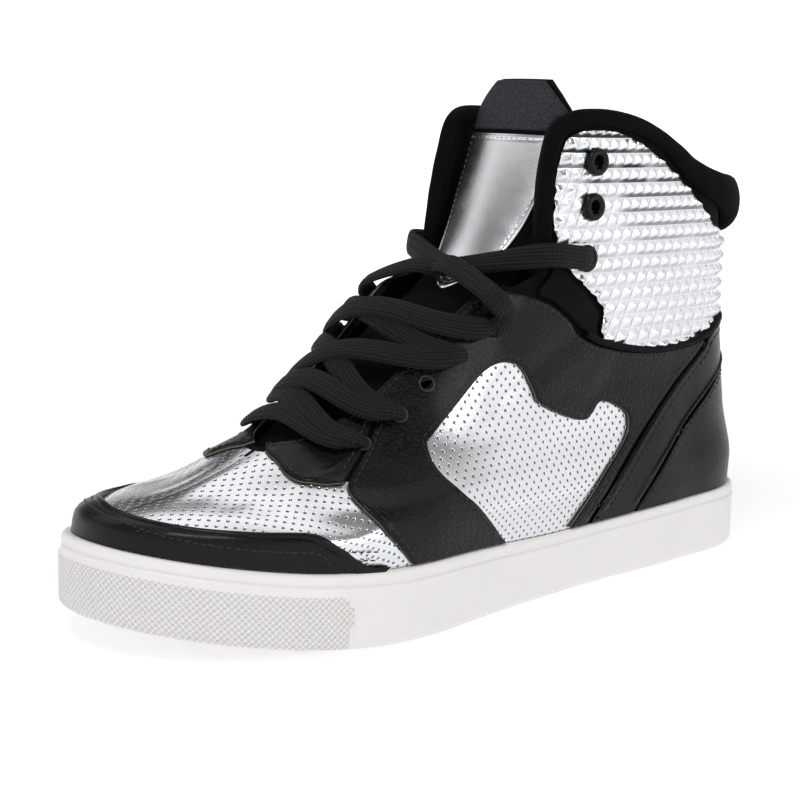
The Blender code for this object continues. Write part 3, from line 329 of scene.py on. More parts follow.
def table(rows, at, column=1):
    """Smooth curve through a table's rows, with no overshoot."""
    data = np.asarray(rows, float)
    x = data[:, 0]
    y = data[:, column]
    step = np.diff(x)
    slope = np.diff(y) / step
    tangent = np.empty_like(y)
    total = slope[:-1] + slope[1:]
    same = slope[:-1] * slope[1:] > 0
    tangent[1:-1] = np.where(same, 2 * slope[:-1] * slope[1:] / np.where(total == 0, 1, total), 0)
    tangent[0] = slope[0]
    tangent[-1] = slope[-1]
    at = np.clip(np.asarray(at, float), x[0], x[-1])
    i = np.clip(np.searchsorted(x, at, side="right") - 1, 0, len(x) - 2)
    t = (at - x[i]) / step[i]
    return ((1 + 2 * t) * (1 - t) ** 2 * y[i] + t * (1 - t) ** 2 * step[i] * tangent[i]
            + t * t * (3 - 2 * t) * y[i + 1] + t * t * (t - 1) * step[i] * tangent[i + 1])


def smooth_step(low, high, at):
    """Rises smoothly from 0 at low to 1 at high."""
    share = np.clip((at - low) / (high - low), 0, 1)
    return share * share * (3 - 2 * share)


def unit(vectors):
    """Vectors brought to a length of one."""
    size = np.linalg.norm(vectors, axis=-1, keepdims=True)
    return vectors / np.where(size == 0, 1, size)


def rounded(distance, radius, power):
    """Share of full width at a distance from an end of a rounded outline."""
    left = np.clip(1 - distance / radius, 0, 1)
    return (1 - left ** power) ** (1 / power)


def spring(x):
    """Height of the sole's underside above the floor."""
    ahead = (x / LENGTH - SPRING_START) / (1 - SPRING_START)
    return TOE_SPRING * np.clip(ahead, 0, None) ** 2


def side_top(x):
    """Height of the sole's rim."""
    return spring(x) + SOLE_SIDE * table(SIDE, x / LENGTH)


def floor_height(x):
    """Height of the floor inside the cup."""
    share = np.clip(x / LENGTH, 0, 1)
    return spring(x) + FLOOR_BALL + (FLOOR_HEEL - FLOOR_BALL) * np.clip(1 - share / FLOOR_END, 0, 1)


def tread_height(x):
    """Height of the tread, with its rise under the arch."""
    middle = np.clip(1 - np.abs(x / LENGTH - ARCH_MIDDLE) / ARCH_REACH, 0, 1)
    return spring(x) + ARCH_RISE * middle * middle * (3 - 2 * middle)


def plan_half(x):
    """Half width of the shoe at a distance from its heel, before its ends are rounded."""
    return BALL_WIDTH / 2 * table(WIDTHS, x / LENGTH)


def plan_middle(x):
    """Middle line of the shoe in plan."""
    return BALL_WIDTH / 2 * table(CURVE, x / LENGTH)


def sole_half(x, inset=0.0):
    """Middle and half width of the sole at a distance from its heel."""
    half = plan_half(x) - inset
    half = half * rounded(x - inset, SOLE_HEEL_ROUND - inset, SOLE_HEEL_POWER)
    half = half * rounded(LENGTH - inset - x, SOLE_TOE_ROUND - inset, SOLE_TOE_POWER)
    return plan_middle(x), half


def sole_edge(turn, inset):
    """Outline of the sole in plan, moved in by inset; turn is 0 at the heel's back."""
    share = (1 - np.cos(turn)) / 2
    x = inset + (LENGTH - 2 * inset) * share
    middle, half = sole_half(x, inset)
    return x, middle + np.where(np.sin(turn) >= 0, 1.0, -1.0) * half


def last_point(turn, level):
    """Point on the last; turn is 0 at the heel's back and half a turn at the front."""
    heel_x, heel_z, front_x, front_z, width = (table(RINGS, level, c) for c in range(1, 6))
    heel_round, heel_power, front_round, front_power, bend = (
        table(RINGS, level, c) for c in range(6, 11))
    share = (1 - np.cos(turn)) / 2
    x = LENGTH * (heel_x + (front_x - heel_x) * share)
    z = HEEL_HEIGHT * heel_z * (1 - share) + INSTEP_HEIGHT * front_z * share
    base = HEEL_HEIGHT * RINGS[0][2] * (1 - share) + INSTEP_HEIGHT * RINGS[0][4] * share
    z = z + (side_top(x) - base) * np.clip(1 - np.maximum(level, 0) / 0.3, 0, 1) ** 1.5
    half = plan_half(x) * width
    half = half * rounded(x - LENGTH * heel_x, LENGTH * heel_round, heel_power)
    half = half * rounded(LENGTH * front_x - x, LENGTH * front_round, front_power)
    side = np.where(np.sin(turn) >= 0, 1.0, -1.0)
    y = plan_middle(x) * bend + side * half
    buried = np.clip(np.asarray(level) / BURIED, 0, 1)
    z = z + (floor_height(x) + FIT - z) * buried
    return np.stack(np.broadcast_arrays(x, y, z), -1)


def last_normal(turn, level):
    """Outward direction of the last."""
    small = 4e-3
    turn = np.asarray(turn, float)
    level = np.asarray(level, float)
    around = last_point(turn + small, level) - last_point(turn - small, level)
    low = np.maximum(level - small, 0.0)
    up = last_point(turn, low + 2 * small) - last_point(turn, low)
    return -unit(np.cross(around, up))


def tongue_point(across, level):
    """Point of the tongue's outer face; across is -1 to 1."""
    half, lean, bow = (table(TONGUE, level, c) for c in range(1, 4))
    turn = np.radians(180.0 - across * half)
    ridge = last_point(np.full_like(turn, math.pi), level)
    side = np.stack((bow, np.ones_like(bow), bow), -1)
    point = ridge + (last_point(turn, level) - ridge) * side
    point = point - last_normal(turn, level) * TONGUE_DEPTH
    point[..., 0] -= TONGUE_LEAN * lean
    return point


def tongue_normal(across, level):
    """Outward direction of the tongue's face."""
    small = 4e-3
    around = tongue_point(across + small, level) - tongue_point(across - small, level)
    low = np.clip(level - small, TONGUE[0][0], TONGUE[-1][0] - 2 * small)
    up = tongue_point(across, low + 2 * small) - tongue_point(across, low)
    return unit(np.cross(around, up))


def creased(turn, level):
    """Rise of the upper's surface at its creases and slight ripples."""
    side = 180.0 - np.abs(180.0 - np.degrees(turn) % 360.0)
    place = np.stack((side * DEGREE_MM, level * LEVEL_MM), -1)
    rise = RIPPLE * np.sin(place[..., 0] / 11.0 + np.sin(place[..., 1] / 17.0) * 1.3)
    rise = rise * np.sin(place[..., 1] / 13.0 + turn * 1.7)
    for start_side, start_level, end_side, end_level, width, depth in CREASES:
        start = np.array((start_side * DEGREE_MM, start_level * LEVEL_MM))
        run = np.array((end_side * DEGREE_MM, end_level * LEVEL_MM)) - start
        done = np.clip(((place - start) @ run) / (run @ run), 0, 1)
        away = np.linalg.norm(place - start - done[..., None] * run, axis=-1) / width
        rise = rise - depth * (np.exp(-away ** 2) - 0.45 * np.exp(-(away - 1.9) ** 2))
    return rise * smooth_step(0.0, 0.05, level)


def on_last(flat):
    """Places a flat sheet's corners on the last, with its creases."""
    turn = np.radians(flat[:, 0] / DEGREE_MM)
    level = flat[:, 1] / LEVEL_MM
    return last_point(turn, level) + last_normal(turn, level) * (
        flat[:, 2] + creased(turn, level))[:, None]


def on_tongue(flat):
    """Places a flat sheet's corners on the tongue; across is in half widths."""
    across = np.clip(flat[:, 0] / TONGUE_MM, -1, 1)
    level = np.clip(flat[:, 1] / LEVEL_MM, TONGUE[0][0], TONGUE[-1][0])
    fold = -0.9 * np.exp(-((level - 0.655) / 0.012) ** 2) * (1 - 0.4 * across ** 2)
    fold += -0.6 * np.exp(-((level - 0.60 + 0.02 * across) / 0.010) ** 2)
    fold += 0.35 * np.sin(across * 3.1 + level * 40.0) * smooth_step(0.70, 0.62, level)
    return tongue_point(across, level) + tongue_normal(across, level) * (
        flat[:, 2] + fold)[:, None]


def catmull(points, t):
    """Point between the middle two of four, on a curve through them all."""
    p0, p1, p2, p3 = points
    return 0.5 * (2 * p1 + (p2 - p0) * t + (2 * p0 - 5 * p1 + 4 * p2 - p3) * t ** 2
                  + (3 * p1 - p0 - 3 * p2 + p3) * t ** 3)


def curve_through(rows, closed=True, steps=6):
    """Outline through a table's points, round except at its corners."""
    data = np.asarray(rows, float)
    points = data[:, :2] * (1.0, LEVEL_MM)
    count = len(points)
    made = []
    for k in range(count if closed else count - 1):
        p1 = points[k]
        p2 = points[(k + 1) % count]
        first = data[k, 2] == 1 or (not closed and k == 0)
        last = data[(k + 1) % count, 2] == 1 or (not closed and k == count - 2)
        p0 = p1 * 2 - p2 if first else points[k - 1]
        p3 = p2 * 2 - p1 if last else points[(k + 2) % count]
        made += [catmull((p0, p1, p2, p3), s / steps) for s in range(steps)]
    if not closed:
        made.append(points[-1])
    return np.array(made) / (1.0, LEVEL_MM)


def mirrored(rows):
    """Outline of the other side, with its order turned round."""
    return tuple((-row[0],) + tuple(row[1:]) for row in reversed(rows))


def both_sides(rows):
    """Outline that runs on from one side's table to its mirror image."""
    return tuple(rows) + tuple(row for row in mirrored(rows) if abs(row[0]) > 1e-6)


def strap_rows():
    """Outline of the heel strap, over its top from side to side and back below."""
    turns = [k for k, row in enumerate(HEEL_STRAP) if row[0] == 0.0]
    top = HEEL_STRAP[:turns[0] + 1]
    bottom = HEEL_STRAP[turns[1]:]
    other_top = [(-u, v, c) for u, v, c in top[::-1]][1:]
    other_bottom = [(-u, v, c) for u, v, c in bottom[::-1]][:-1]
    return tuple(top) + tuple(other_top) + tuple(other_bottom) + tuple(bottom)


def side_rows(rows, side):
    """Outline for the outer side, 1, or the inner side, -1."""
    return rows if side == 1 else mirrored(rows)


def flatten(rows, across_mm=DEGREE_MM):
    """Corners of an outline on the flat sheet."""
    return curve_through(rows) * (across_mm, LEVEL_MM)


def with_corners(faces):
    """Faces with their edges and corners, each once and in a fixed order."""
    return list(dict.fromkeys(part for f in faces for part in (f, *f.edges, *f.verts)))


def punch(sheet, hole):
    """Cuts a round hole, given by its middle, its two radii and its sides."""
    x, y, across, up, sides = hole
    near = [f for f in sheet.faces
            if all(min(v.co[a] for v in f.verts) < c + r * 1.2
                   and max(v.co[a] for v in f.verts) > c - r * 1.2
                   for a, c, r in ((0, x, across), (1, y, up)))]
    geometry = with_corners(near)
    for k in range(sides):
        angle = 2 * math.pi * (k + 0.5) / sides
        point = (x + across * math.cos(angle), y + up * math.sin(angle), 0)
        away = (math.cos(angle) / across, math.sin(angle) / up, 0)
        made = bmesh.ops.bisect_plane(sheet, geom=geometry, dist=1e-4, plane_co=point, plane_no=away)
        geometry = made["geom"]
    middles = {g: g.calc_center_median() for g in geometry if isinstance(g, bmesh.types.BMFace)}
    inside = [face for face, middle in middles.items()
              if math.hypot((middle.x - x) / across, (middle.y - y) / up) < 0.999]
    bmesh.ops.delete(sheet, geom=inside, context="FACES")


def flat_sheet(outline, rim, across_lines, up_lines, holes=()):
    """Flat sheet in an outline, rounded at its rim and cut by lines both ways."""
    sheet = bmesh.new()
    face = sheet.faces.new([sheet.verts.new((x, y, rim[0][1])) for x, y in outline])
    face.normal_update()
    if face.normal.z < 0:
        face.normal_flip()
    done = 0.0
    for distance, height in rim[1:]:
        bmesh.ops.inset_region(sheet, faces=[face], thickness=distance - done,
                               use_even_offset=False, use_boundary=True)
        done = distance
        for vertex in face.verts:
            vertex.co.z = height
    for axis, lines in ((0, across_lines), (1, up_lines)):
        direction = (1, 0, 0) if axis == 0 else (0, 1, 0)
        low = outline[:, axis].min()
        high = outline[:, axis].max()
        for line in lines:
            if low < line < high:
                point = (line, 0, 0) if axis == 0 else (0, line, 0)
                geometry = sheet.verts[:] + sheet.edges[:] + sheet.faces[:]
                bmesh.ops.bisect_plane(sheet, geom=geometry, dist=1e-4,
                                       plane_co=point, plane_no=direction)
    for hole in holes:
        punch(sheet, hole)
    return sheet


def every(outline, axis, step):
    """Lines a step apart over an outline's width or height."""
    low = math.ceil(outline[:, axis].min() / step)
    return np.arange(low, math.floor(outline[:, axis].max() / step) + 1) * step


def solid_sheet(sheet, low, back=None, joined_at=None):
    """Gives a flat sheet its thickness; the walls take the second material."""
    made = bmesh.ops.extrude_face_region(sheet, geom=sheet.faces[:])
    raised = {v for v in made["geom"] if isinstance(v, bmesh.types.BMVert)}
    ends = []
    for face in sheet.faces:
        kinds = {v in raised for v in face.verts}
        if len(kinds) == 2:
            face.material_index = 1
            if joined_at and all(abs(abs(v.co.x) - joined_at) < 1e-3 for v in face.verts):
                ends.append(face)
        elif kinds == {False}:
            face.material_index = 2
    bmesh.ops.delete(sheet, geom=ends, context="FACES_ONLY")
    for vertex in sheet.verts:
        if vertex not in raised:
            vertex.co.z = back(vertex.co.z) if back else low
    return sheet


def corners(sheet):
    """Places of a mesh's corners."""
    return np.array([v.co[:] for v in sheet.verts])


def open_edges(sheet):
    """Edges that have a face on one side only."""
    return [e for e in sheet.edges if e.is_boundary]


def weld(sheet, distance=1e-3):
    """Joins corners that lie in one place."""
    bmesh.ops.remove_doubles(sheet, verts=sheet.verts[:], dist=distance)


def move(sheet, place):
    """Moves every corner of a mesh by a function of all their places."""
    places = place(corners(sheet))
    for vertex, point in zip(sheet.verts, places.tolist()):
        vertex.co = point
    return places


def lay_uv(sheet, values):
    """Writes a pattern's two coordinates, in millimetres, for each corner."""
    layer = sheet.loops.layers.uv.new("UVMap")
    sheet.verts.index_update()
    values = values.tolist()
    for face in sheet.faces:
        for loop in face.loops:
            loop[layer].uv = values[loop.vert.index]


def added(name, data):
    """Object of a mesh, light or camera, put in the scene."""
    made = bpy.data.objects.new(name, data)
    bpy.context.scene.collection.objects.link(made)
    return made


def piece(sheet, name, materials, slot, *nodes, angle=35.0, merge=1e-3, turn=True):
    """Finished object of a mesh in shoe millimetres, riding on the shoe."""
    if merge:
        weld(sheet, merge)
    if turn:
        bmesh.ops.recalc_face_normals(sheet, faces=sheet.faces[:])
        if sheet.calc_volume(signed=True) < 0:
            bmesh.ops.reverse_faces(sheet, faces=sheet.faces[:])
    bmesh.ops.translate(sheet, verts=sheet.verts[:], vec=(-HEEL_SEAT, 0, 0))
    bmesh.ops.scale(sheet, verts=sheet.verts[:], vec=(MM, MM, MM))
    mesh = bpy.data.meshes.new(name)
    sheet.to_mesh(mesh)
    sheet.free()
    for used in materials:
        mesh.materials.append(used)
    mesh.shade_smooth()
    mesh.set_sharp_from_angle(angle=math.radians(angle))
    made = added(name, mesh)
    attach(made, "root")
    if nodes:
        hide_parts(*nodes)
    return made


def woven_grid(columns, rows, place, uv=None):
    """Grid of faces whose corners are placed by a function of two shares."""
    sheet = bmesh.new()
    bmesh.ops.create_grid(sheet, x_segments=columns, y_segments=rows, size=0.5)
    flat = corners(sheet)[:, :2] + 0.5
    if uv is not None:
        lay_uv(sheet, uv(flat[:, 0], flat[:, 1]))
    for vertex, point in zip(sheet.verts, place(flat[:, 0], flat[:, 1]).tolist()):
        vertex.co = point
    return sheet


def walked(points):
    """Length of a path up to each of its points."""
    return np.concatenate(([0.0], np.cumsum(np.linalg.norm(np.diff(points, axis=0), axis=1))))


def along(path, length, at):
    """Places at lengths along a path."""
    return np.stack([np.interp(at, length, path[:, a]) for a in range(path.shape[1])], -1)


def resampled(path, step):
    """Path with places at even distances, about a step apart."""
    path = np.asarray(path, float)
    length = walked(path[:, :3])
    count = max(int(round(length[-1] / step)), 2)
    at = np.linspace(0, length[-1], count + 1)
    return along(path, length, at)


def inner_path(path, distance, surface, direction, closed=True, small=0.2):
    """Path at a distance inside an outline, measured on its surface."""
    ahead = np.roll(path, -1, axis=0) if closed else np.vstack((path[1:], path[-1:]))
    behind = np.roll(path, 1, axis=0) if closed else np.vstack((path[:1], path[:-1]))
    tangent = surface(ahead) - surface(behind)
    u_step = np.array((small, 0.0))
    v_step = np.array((0.0, 0.001))
    along_u = (surface(path + u_step) - surface(path - u_step)) / (2 * small)
    along_v = (surface(path + v_step) - surface(path - v_step)) / 0.002
    normal = unit(np.cross(along_u, along_v))
    inward = unit(np.cross(normal, tangent)) * direction * distance
    uu = (along_u ** 2).sum(-1)
    vv = (along_v ** 2).sum(-1)
    uv = (along_u * along_v).sum(-1)
    au = (along_u * inward).sum(-1)
    av = (along_v * inward).sum(-1)
    whole = uu * vv - uv ** 2
    return path + np.stack(((au * vv - av * uv) / whole, (av * uu - au * uv) / whole), -1)


def last_spot(degrees, level):
    """Point and outward direction at one place of the last."""
    turn, level = np.array(math.radians(degrees)), np.array(level)
    return last_point(turn, level), last_normal(turn, level)


def last_surface(path):
    """Points on the last for rows of degrees and level."""
    return last_point(np.radians(path[:, 0]), path[:, 1])


def tongue_surface(path):
    """Points on the tongue for rows of half widths and level."""
    return tongue_point(path[:, 0], path[:, 1])


def linear(code):
    """Linear colour of an sRGB hex value."""
    parts = [int(code[k:k + 2], 16) / 255 for k in (1, 3, 5)]
    return tuple(c / 12.92 if c <= 0.04045 else ((c + 0.055) / 1.055) ** 2.4 for c in parts) + (1.0,)


def add_node(tree, kind, inputs=(), **settings):
    """Adds a node with its settings; an input is a value or a socket to link."""
    made = tree.nodes.new(kind)
    for name, value in settings.items():
        setattr(made, name, value)
    for key, value in dict(inputs).items():
        socket = made.inputs[key]
        if isinstance(value, bpy.types.NodeSocket):
            tree.links.new(value, socket)
        else:
            socket.default_value = value
    return made


def shaded(name, **values):
    """Material with a Principled shader, and its tree and shader."""
    made = bpy.data.materials.new(name)
    made.use_nodes = True
    shader = made.node_tree.nodes["Principled BSDF"]
    for key, value in values.items():
        shader.inputs[key.replace("_", " ")].default_value = value
    return made, made.node_tree, shader


def set_bump(tree, shader, height, distance, strength, under=None):
    """Bump of a height from 0 to 1, whose full depth is a distance in millimetres."""
    inputs = {"Height": height, "Distance": distance * MM, "Strength": strength}
    if under is not None:
        inputs["Normal"] = under
    made = add_node(tree, "ShaderNodeBump", inputs)
    tree.links.new(made.outputs["Normal"], shader.inputs["Normal"])
    return made.outputs["Normal"]


def vary(tree, shader, name, factor, low, high):
    """Lets a shader's value run from low to high with a factor."""
    tree.links.new(ranged(tree, factor, 0.0, 1.0, low, high), shader.inputs[name])


def mixed(tree, factor, first, second):
    """Mix of two colours."""
    made = add_node(tree, "ShaderNodeMix", {"Factor": factor}, data_type="RGBA")
    for key, value in (("A", first), ("B", second)):
        socket = [s for s in made.inputs if s.name == key and s.type == "RGBA"][0]
        if isinstance(value, bpy.types.NodeSocket):
            tree.links.new(value, socket)
        else:
            socket.default_value = value
    return [s for s in made.outputs if s.type == "RGBA"][0]


def tint(tree, shader, factor, first, second):
    """Lets a shader's colour run between two with a factor."""
    tree.links.new(mixed(tree, factor, first, second), shader.inputs["Base Color"])


def object_place(tree):
    """Place on the object, in metres."""
    return add_node(tree, "ShaderNodeTexCoord").outputs["Object"]


def pattern_place(tree):
    """Place on the piece's own flat pattern."""
    return add_node(tree, "ShaderNodeUVMap", uv_map="UVMap").outputs["UV"]


def ranged(tree, value, low, high, to_low=0.0, to_high=1.0, kind="LINEAR"):
    """Value brought from one range to another."""
    return add_node(tree, "ShaderNodeMapRange", {
        "Value": value, "From Min": low, "From Max": high, "To Min": to_low, "To Max": to_high},
        interpolation_type=kind).outputs["Result"]


def moved_by(tree, operation, first, second=(0.0, 0.0, 0.0)):
    """One sum on one or two places."""
    return add_node(tree, "ShaderNodeVectorMath", {0: first, 1: second},
                    operation=operation).outputs


def per_mm(millimetres):
    """Texture scale of a pattern whose repeat has a size in millimetres."""
    return 1 / (millimetres * MM)


def noise(tree, place, millimetres, detail=2.0, roughness=0.5):
    """Noise with lumps of a size in millimetres."""
    return add_node(tree, "ShaderNodeTexNoise", {
        "Vector": place, "Scale": per_mm(millimetres), "Detail": detail,
        "Roughness": roughness}).outputs["Fac"]


def maths(tree, operation, first, second=0.0):
    """One sum on one or two numbers."""
    return add_node(tree, "ShaderNodeMath", {0: first, 1: second},
                    operation=operation).outputs[0]


def black_leather(name, color, grain, depth, roughness, coat):
    """Cow leather, pigmented black and embossed with a pebble grain.

    The pebbles catch small broken highlights and the creases between them stay
    matt; a thin finish coat gives the broad soft sheen on top.
    """
    made, tree, shader = shaded(name, Base_Color=color, Coat_Weight=coat,
                                Coat_Roughness=0.20, Specular_IOR_Level=0.20)
    place = object_place(tree)
    warp = add_node(tree, "ShaderNodeTexNoise", {"Vector": place, "Scale": per_mm(3.5), "Detail": 2.0})
    offset = add_node(tree, "ShaderNodeVectorMath", {0: warp.outputs["Color"], 3: 0.9 * grain * MM},
                      operation="SCALE").outputs[0]
    bent = moved_by(tree, "ADD", place, offset)[0]
    cells = add_node(tree, "ShaderNodeTexVoronoi", {
        "Vector": bent, "Scale": per_mm(grain), "Smoothness": 0.55, "Randomness": 0.95},
        feature="SMOOTH_F1")
    pebble = ranged(tree, cells.outputs["Distance"], 0.10, 0.62, 1.0, 0.0, "SMOOTHSTEP")
    broad = set_bump(tree, shader, noise(tree, place, 9.0, 3.0), 0.9, 0.5)
    set_bump(tree, shader, pebble, depth, 0.9, broad)
    worn = noise(tree, place, 22.0, 4.0, 0.6)
    vary(tree, shader, "Roughness", maths(tree, "ADD", maths(tree, "MULTIPLY", pebble, -0.5), worn),
         roughness + 0.16, roughness - 0.08)
    tint(tree, shader, maths(tree, "MULTIPLY", pebble, 0.7), color, linear("#1A1A1C"))
    return made


def silver_leather(name, pitch, hole, holed=True):
    """Leather laminated with aluminised film and punched with small holes.

    The film mirrors like brushed tin, crinkles slightly over the leather's grain
    and dips at each hole, which is dark inside and has a bright lip.
    """
    made, tree, shader = shaded(name, Base_Color=linear("#E4E6E8"), Metallic=0.96, Roughness=0.24)
    place = object_place(tree)
    wide = set_bump(tree, shader, noise(tree, place, 15.0, 3.0, 0.45), 0.38, 0.5)
    fine = set_bump(tree, shader, noise(tree, place, 0.8, 3.0, 0.6), 0.05, 0.7, wide)
    vary(tree, shader, "Roughness", noise(tree, place, 6.0, 4.0, 0.6), 0.18, 0.32)
    if not holed:
        return made
    flat = pattern_place(tree)
    turned = add_node(tree, "ShaderNodeMapping", {
        "Vector": flat, "Rotation": (0.0, 0.0, math.radians(45)),
        "Scale": (1 / pitch, 1 / pitch, 0.0)}).outputs[0]
    share = moved_by(tree, "FRACTION", turned)[0]
    away = moved_by(tree, "DISTANCE", share, (0.5, 0.5, 0.0))["Value"]
    edge = hole / 2 / pitch
    dip = ranged(tree, away, edge * 0.8, edge * 1.9, kind="SMOOTHSTEP")
    set_bump(tree, shader, dip, 0.20, 1.0, fine)
    inside = ranged(tree, away, edge * 0.95, edge * 1.15, 1.0, 0.0)
    tint(tree, shader, inside, linear("#E4E6E8"), linear("#66676A"))
    vary(tree, shader, "Metallic", inside, 0.96, 0.0)
    return made


def silver_foil(name):
    """Polyurethane foil heat-pressed over foam into rows of studs.

    It is smoother than the leather, so each stud mirrors the lights above and the
    floor below it. Fine crinkles break the reflections. The grooves between the
    columns of studs are painted darker as painted shade, and the lower part of each
    stud, in random lumps and most on the upper rows, is painted dark as a painted
    reflection of dark surroundings.
    """
    made, tree, shader = shaded(name, Base_Color=linear("#E6E8EA"), Metallic=0.97, Roughness=0.20)
    place = object_place(tree)
    wide = set_bump(tree, shader, noise(tree, place, 2.6, 3.0, 0.6), 0.14, 0.8)
    set_bump(tree, shader, noise(tree, place, 0.5, 2.0), 0.03, 0.7, wide)
    vary(tree, shader, "Roughness", noise(tree, place, 3.0, 4.0, 0.6), 0.14, 0.30)
    flat = pattern_place(tree)
    parts = add_node(tree, "ShaderNodeSeparateXYZ", {0: moved_by(tree, "FRACTION", flat)[0]})
    side = maths(tree, "ABSOLUTE", maths(tree, "SUBTRACT", parts.outputs["X"], 0.5))
    # Painted shade: the grooves between the columns of studs are coloured darker.
    groove = ranged(tree, side, 0.44, 0.50, 0.0, 0.75, "SMOOTHSTEP")
    bow = maths(tree, "ADD", parts.outputs["Y"], maths(tree, "MULTIPLY", side, 0.25))
    # Painted reflection: the lower part of each stud is coloured dark, in random lumps and most on the
    # upper rows.
    painted_underside_reflection = ranged(tree, bow, 0.42, 0.24, kind="SMOOTHSTEP")
    lump = ranged(tree, noise(tree, place, 30.0, 2.0), 0.30, 0.50)
    above = add_node(tree, "ShaderNodeSeparateXYZ", {0: place}).outputs["Z"]
    high = ranged(tree, above, 0.108, 0.150, 0.12, 0.95)
    # Takes the painted shade of the grooves or the painted reflection under the studs, whichever is
    # stronger.
    dark = maths(tree, "MAXIMUM", maths(tree, "MULTIPLY", maths(tree, "MULTIPLY", painted_underside_reflection, lump), high),
                 maths(tree, "MULTIPLY", groove, 0.5))
    tint(tree, shader, dark, linear("#E6E8EA"), linear("#1E1F22"))
    return made


def textile(name, color, second, thread, depth, rough=0.9, sheen=0.12):
    """Knitted polyester, dyed in the yarn.

    Loops a thread wide give a fine even nap, the fibres' ends catch a faint sheen
    at the rim and dusty patches, spread at random, are a little lighter.
    """
    made, tree, shader = shaded(name, Base_Color=linear(color), Roughness=rough,
                                Sheen_Weight=sheen, Sheen_Roughness=0.45,
                                Specular_IOR_Level=0.12)
    shader.inputs["Sheen Tint"].default_value = linear("#5D5F64")
    place = object_place(tree)
    loops = add_node(tree, "ShaderNodeTexVoronoi", {
        "Vector": place, "Scale": per_mm(thread), "Randomness": 0.55}).outputs["Distance"]
    soft = set_bump(tree, shader, noise(tree, place, 5.0, 3.0), 0.5, 0.5)
    set_bump(tree, shader, maths(tree, "SUBTRACT", 1.0, loops), depth, 0.9, soft)
    patch = maths(tree, "MULTIPLY", noise(tree, place, 2.4, 5.0, 0.7), 0.55)
    tint(tree, shader, patch, linear(color), linear(second))
    return made


def mottled_lining(name):
    """Printed plain-weave lining in cream, grey and black blotches."""
    made, tree, shader = shaded(name, Roughness=0.85, Sheen_Weight=0.2)
    place = object_place(tree)
    blot = add_node(tree, "ShaderNodeValToRGB", {"Fac": noise(tree, place, 7.0, 2.0, 0.55)})
    ramp = blot.color_ramp
    ramp.interpolation = "CONSTANT"
    ramp.elements[0].color = linear("#17171A")
    ramp.elements[1].position = 0.50
    ramp.elements[1].color = linear("#C9C6B4")
    grey = ramp.elements.new(0.60)
    grey.color = linear("#6E6F66")
    tree.links.new(blot.outputs["Color"], shader.inputs["Base Color"])
    set_bump(tree, shader, noise(tree, place, 0.6), 0.1, 0.6)
    return made


def braided_lace(name, color, thread):
    """Flat lace braided from texturised polyester yarn.

    Strands slant in narrow columns, leaning the other way in each, so the lace
    has a herringbone along it that takes soft highlights in rows. Its colour follows
    the braid's height: the low parts between strands are painted near black as
    painted shade and the raised strands lighter as a painted highlight.
    """
    made, tree, shader = shaded(name, Roughness=0.60, Sheen_Weight=0.22, Sheen_Roughness=0.4,
                                Specular_IOR_Level=0.22)
    shader.inputs["Sheen Tint"].default_value = linear("#6C6E74")
    flat = pattern_place(tree)
    parts = add_node(tree, "ShaderNodeSeparateXYZ", {0: flat})
    lean = maths(tree, "PINGPONG", parts.outputs["Y"], thread)
    run = maths(tree, "ADD", parts.outputs["X"], lean)
    strand = maths(tree, "SINE", maths(tree, "MULTIPLY", run, 2 * math.pi / thread))
    seam = maths(tree, "SINE", maths(tree, "MULTIPLY", parts.outputs["Y"], math.pi / thread))
    ribs = maths(tree, "ADD", maths(tree, "MULTIPLY", strand, 0.22), 0.25)
    height = maths(tree, "ADD", ribs, maths(tree, "MULTIPLY", maths(tree, "ABSOLUTE", seam), 0.5))
    place = object_place(tree)
    soft = set_bump(tree, shader, noise(tree, place, 0.35, 2.0), 0.08, 0.6)
    set_bump(tree, shader, height, 0.70, 1.0, soft)
    # Painted shade and highlight: colour runs from near black in the braid's low parts to lighter on
    # its raised strands.
    tint(tree, shader, height, linear("#020202"), linear(color))
    return made


def white_rubber(name, color, dots=0.0, tread=False):
    """Vulcanised rubber, compression moulded, in warm white.

    The smooth wall is satin with faint cloudy marks; the toe guard is moulded with
    a fine diamond grip and the tread with fine diagonal ribs.
    """
    made, tree, shader = shaded(name, Base_Color=linear(color), Roughness=0.46,
                                Subsurface_Weight=0.04, Subsurface_Scale=0.002,
                                Specular_IOR_Level=0.45)
    place = object_place(tree)
    cloud = noise(tree, place, 18.0, 5.0, 0.6)
    tint(tree, shader, maths(tree, "MULTIPLY", cloud, 0.35), linear(color), linear("#D8D6D5"))
    vary(tree, shader, "Roughness", cloud, 0.38, 0.56)
    soft = set_bump(tree, shader, noise(tree, place, 1.2, 3.0), 0.03, 0.5)
    if dots:
        flat = pattern_place(tree)
        turned = add_node(tree, "ShaderNodeMapping", {
            "Vector": flat, "Rotation": (0.0, 0.0, math.radians(45))}).outputs[0]
        parts = add_node(tree, "ShaderNodeSeparateXYZ", {0: turned})
        waves = [maths(tree, "SINE", maths(tree, "MULTIPLY", parts.outputs[a], 2 * math.pi / dots))
                 for a in ("X", "Y")]
        height = maths(tree, "MULTIPLY", maths(tree, "ADD", waves[0], 1.0),
                       maths(tree, "ADD", waves[1], 1.0))
        set_bump(tree, shader, maths(tree, "MULTIPLY", height, 0.25), 0.55, 1.0, soft)
    if tread:
        chevron = add_node(tree, "ShaderNodeTexWave", {
            "Vector": place, "Scale": per_mm(3.2), "Distortion": 0.0}, bands_direction="DIAGONAL")
        set_bump(tree, shader, chevron.outputs["Fac"], 0.4, 1.0, soft)
    return made


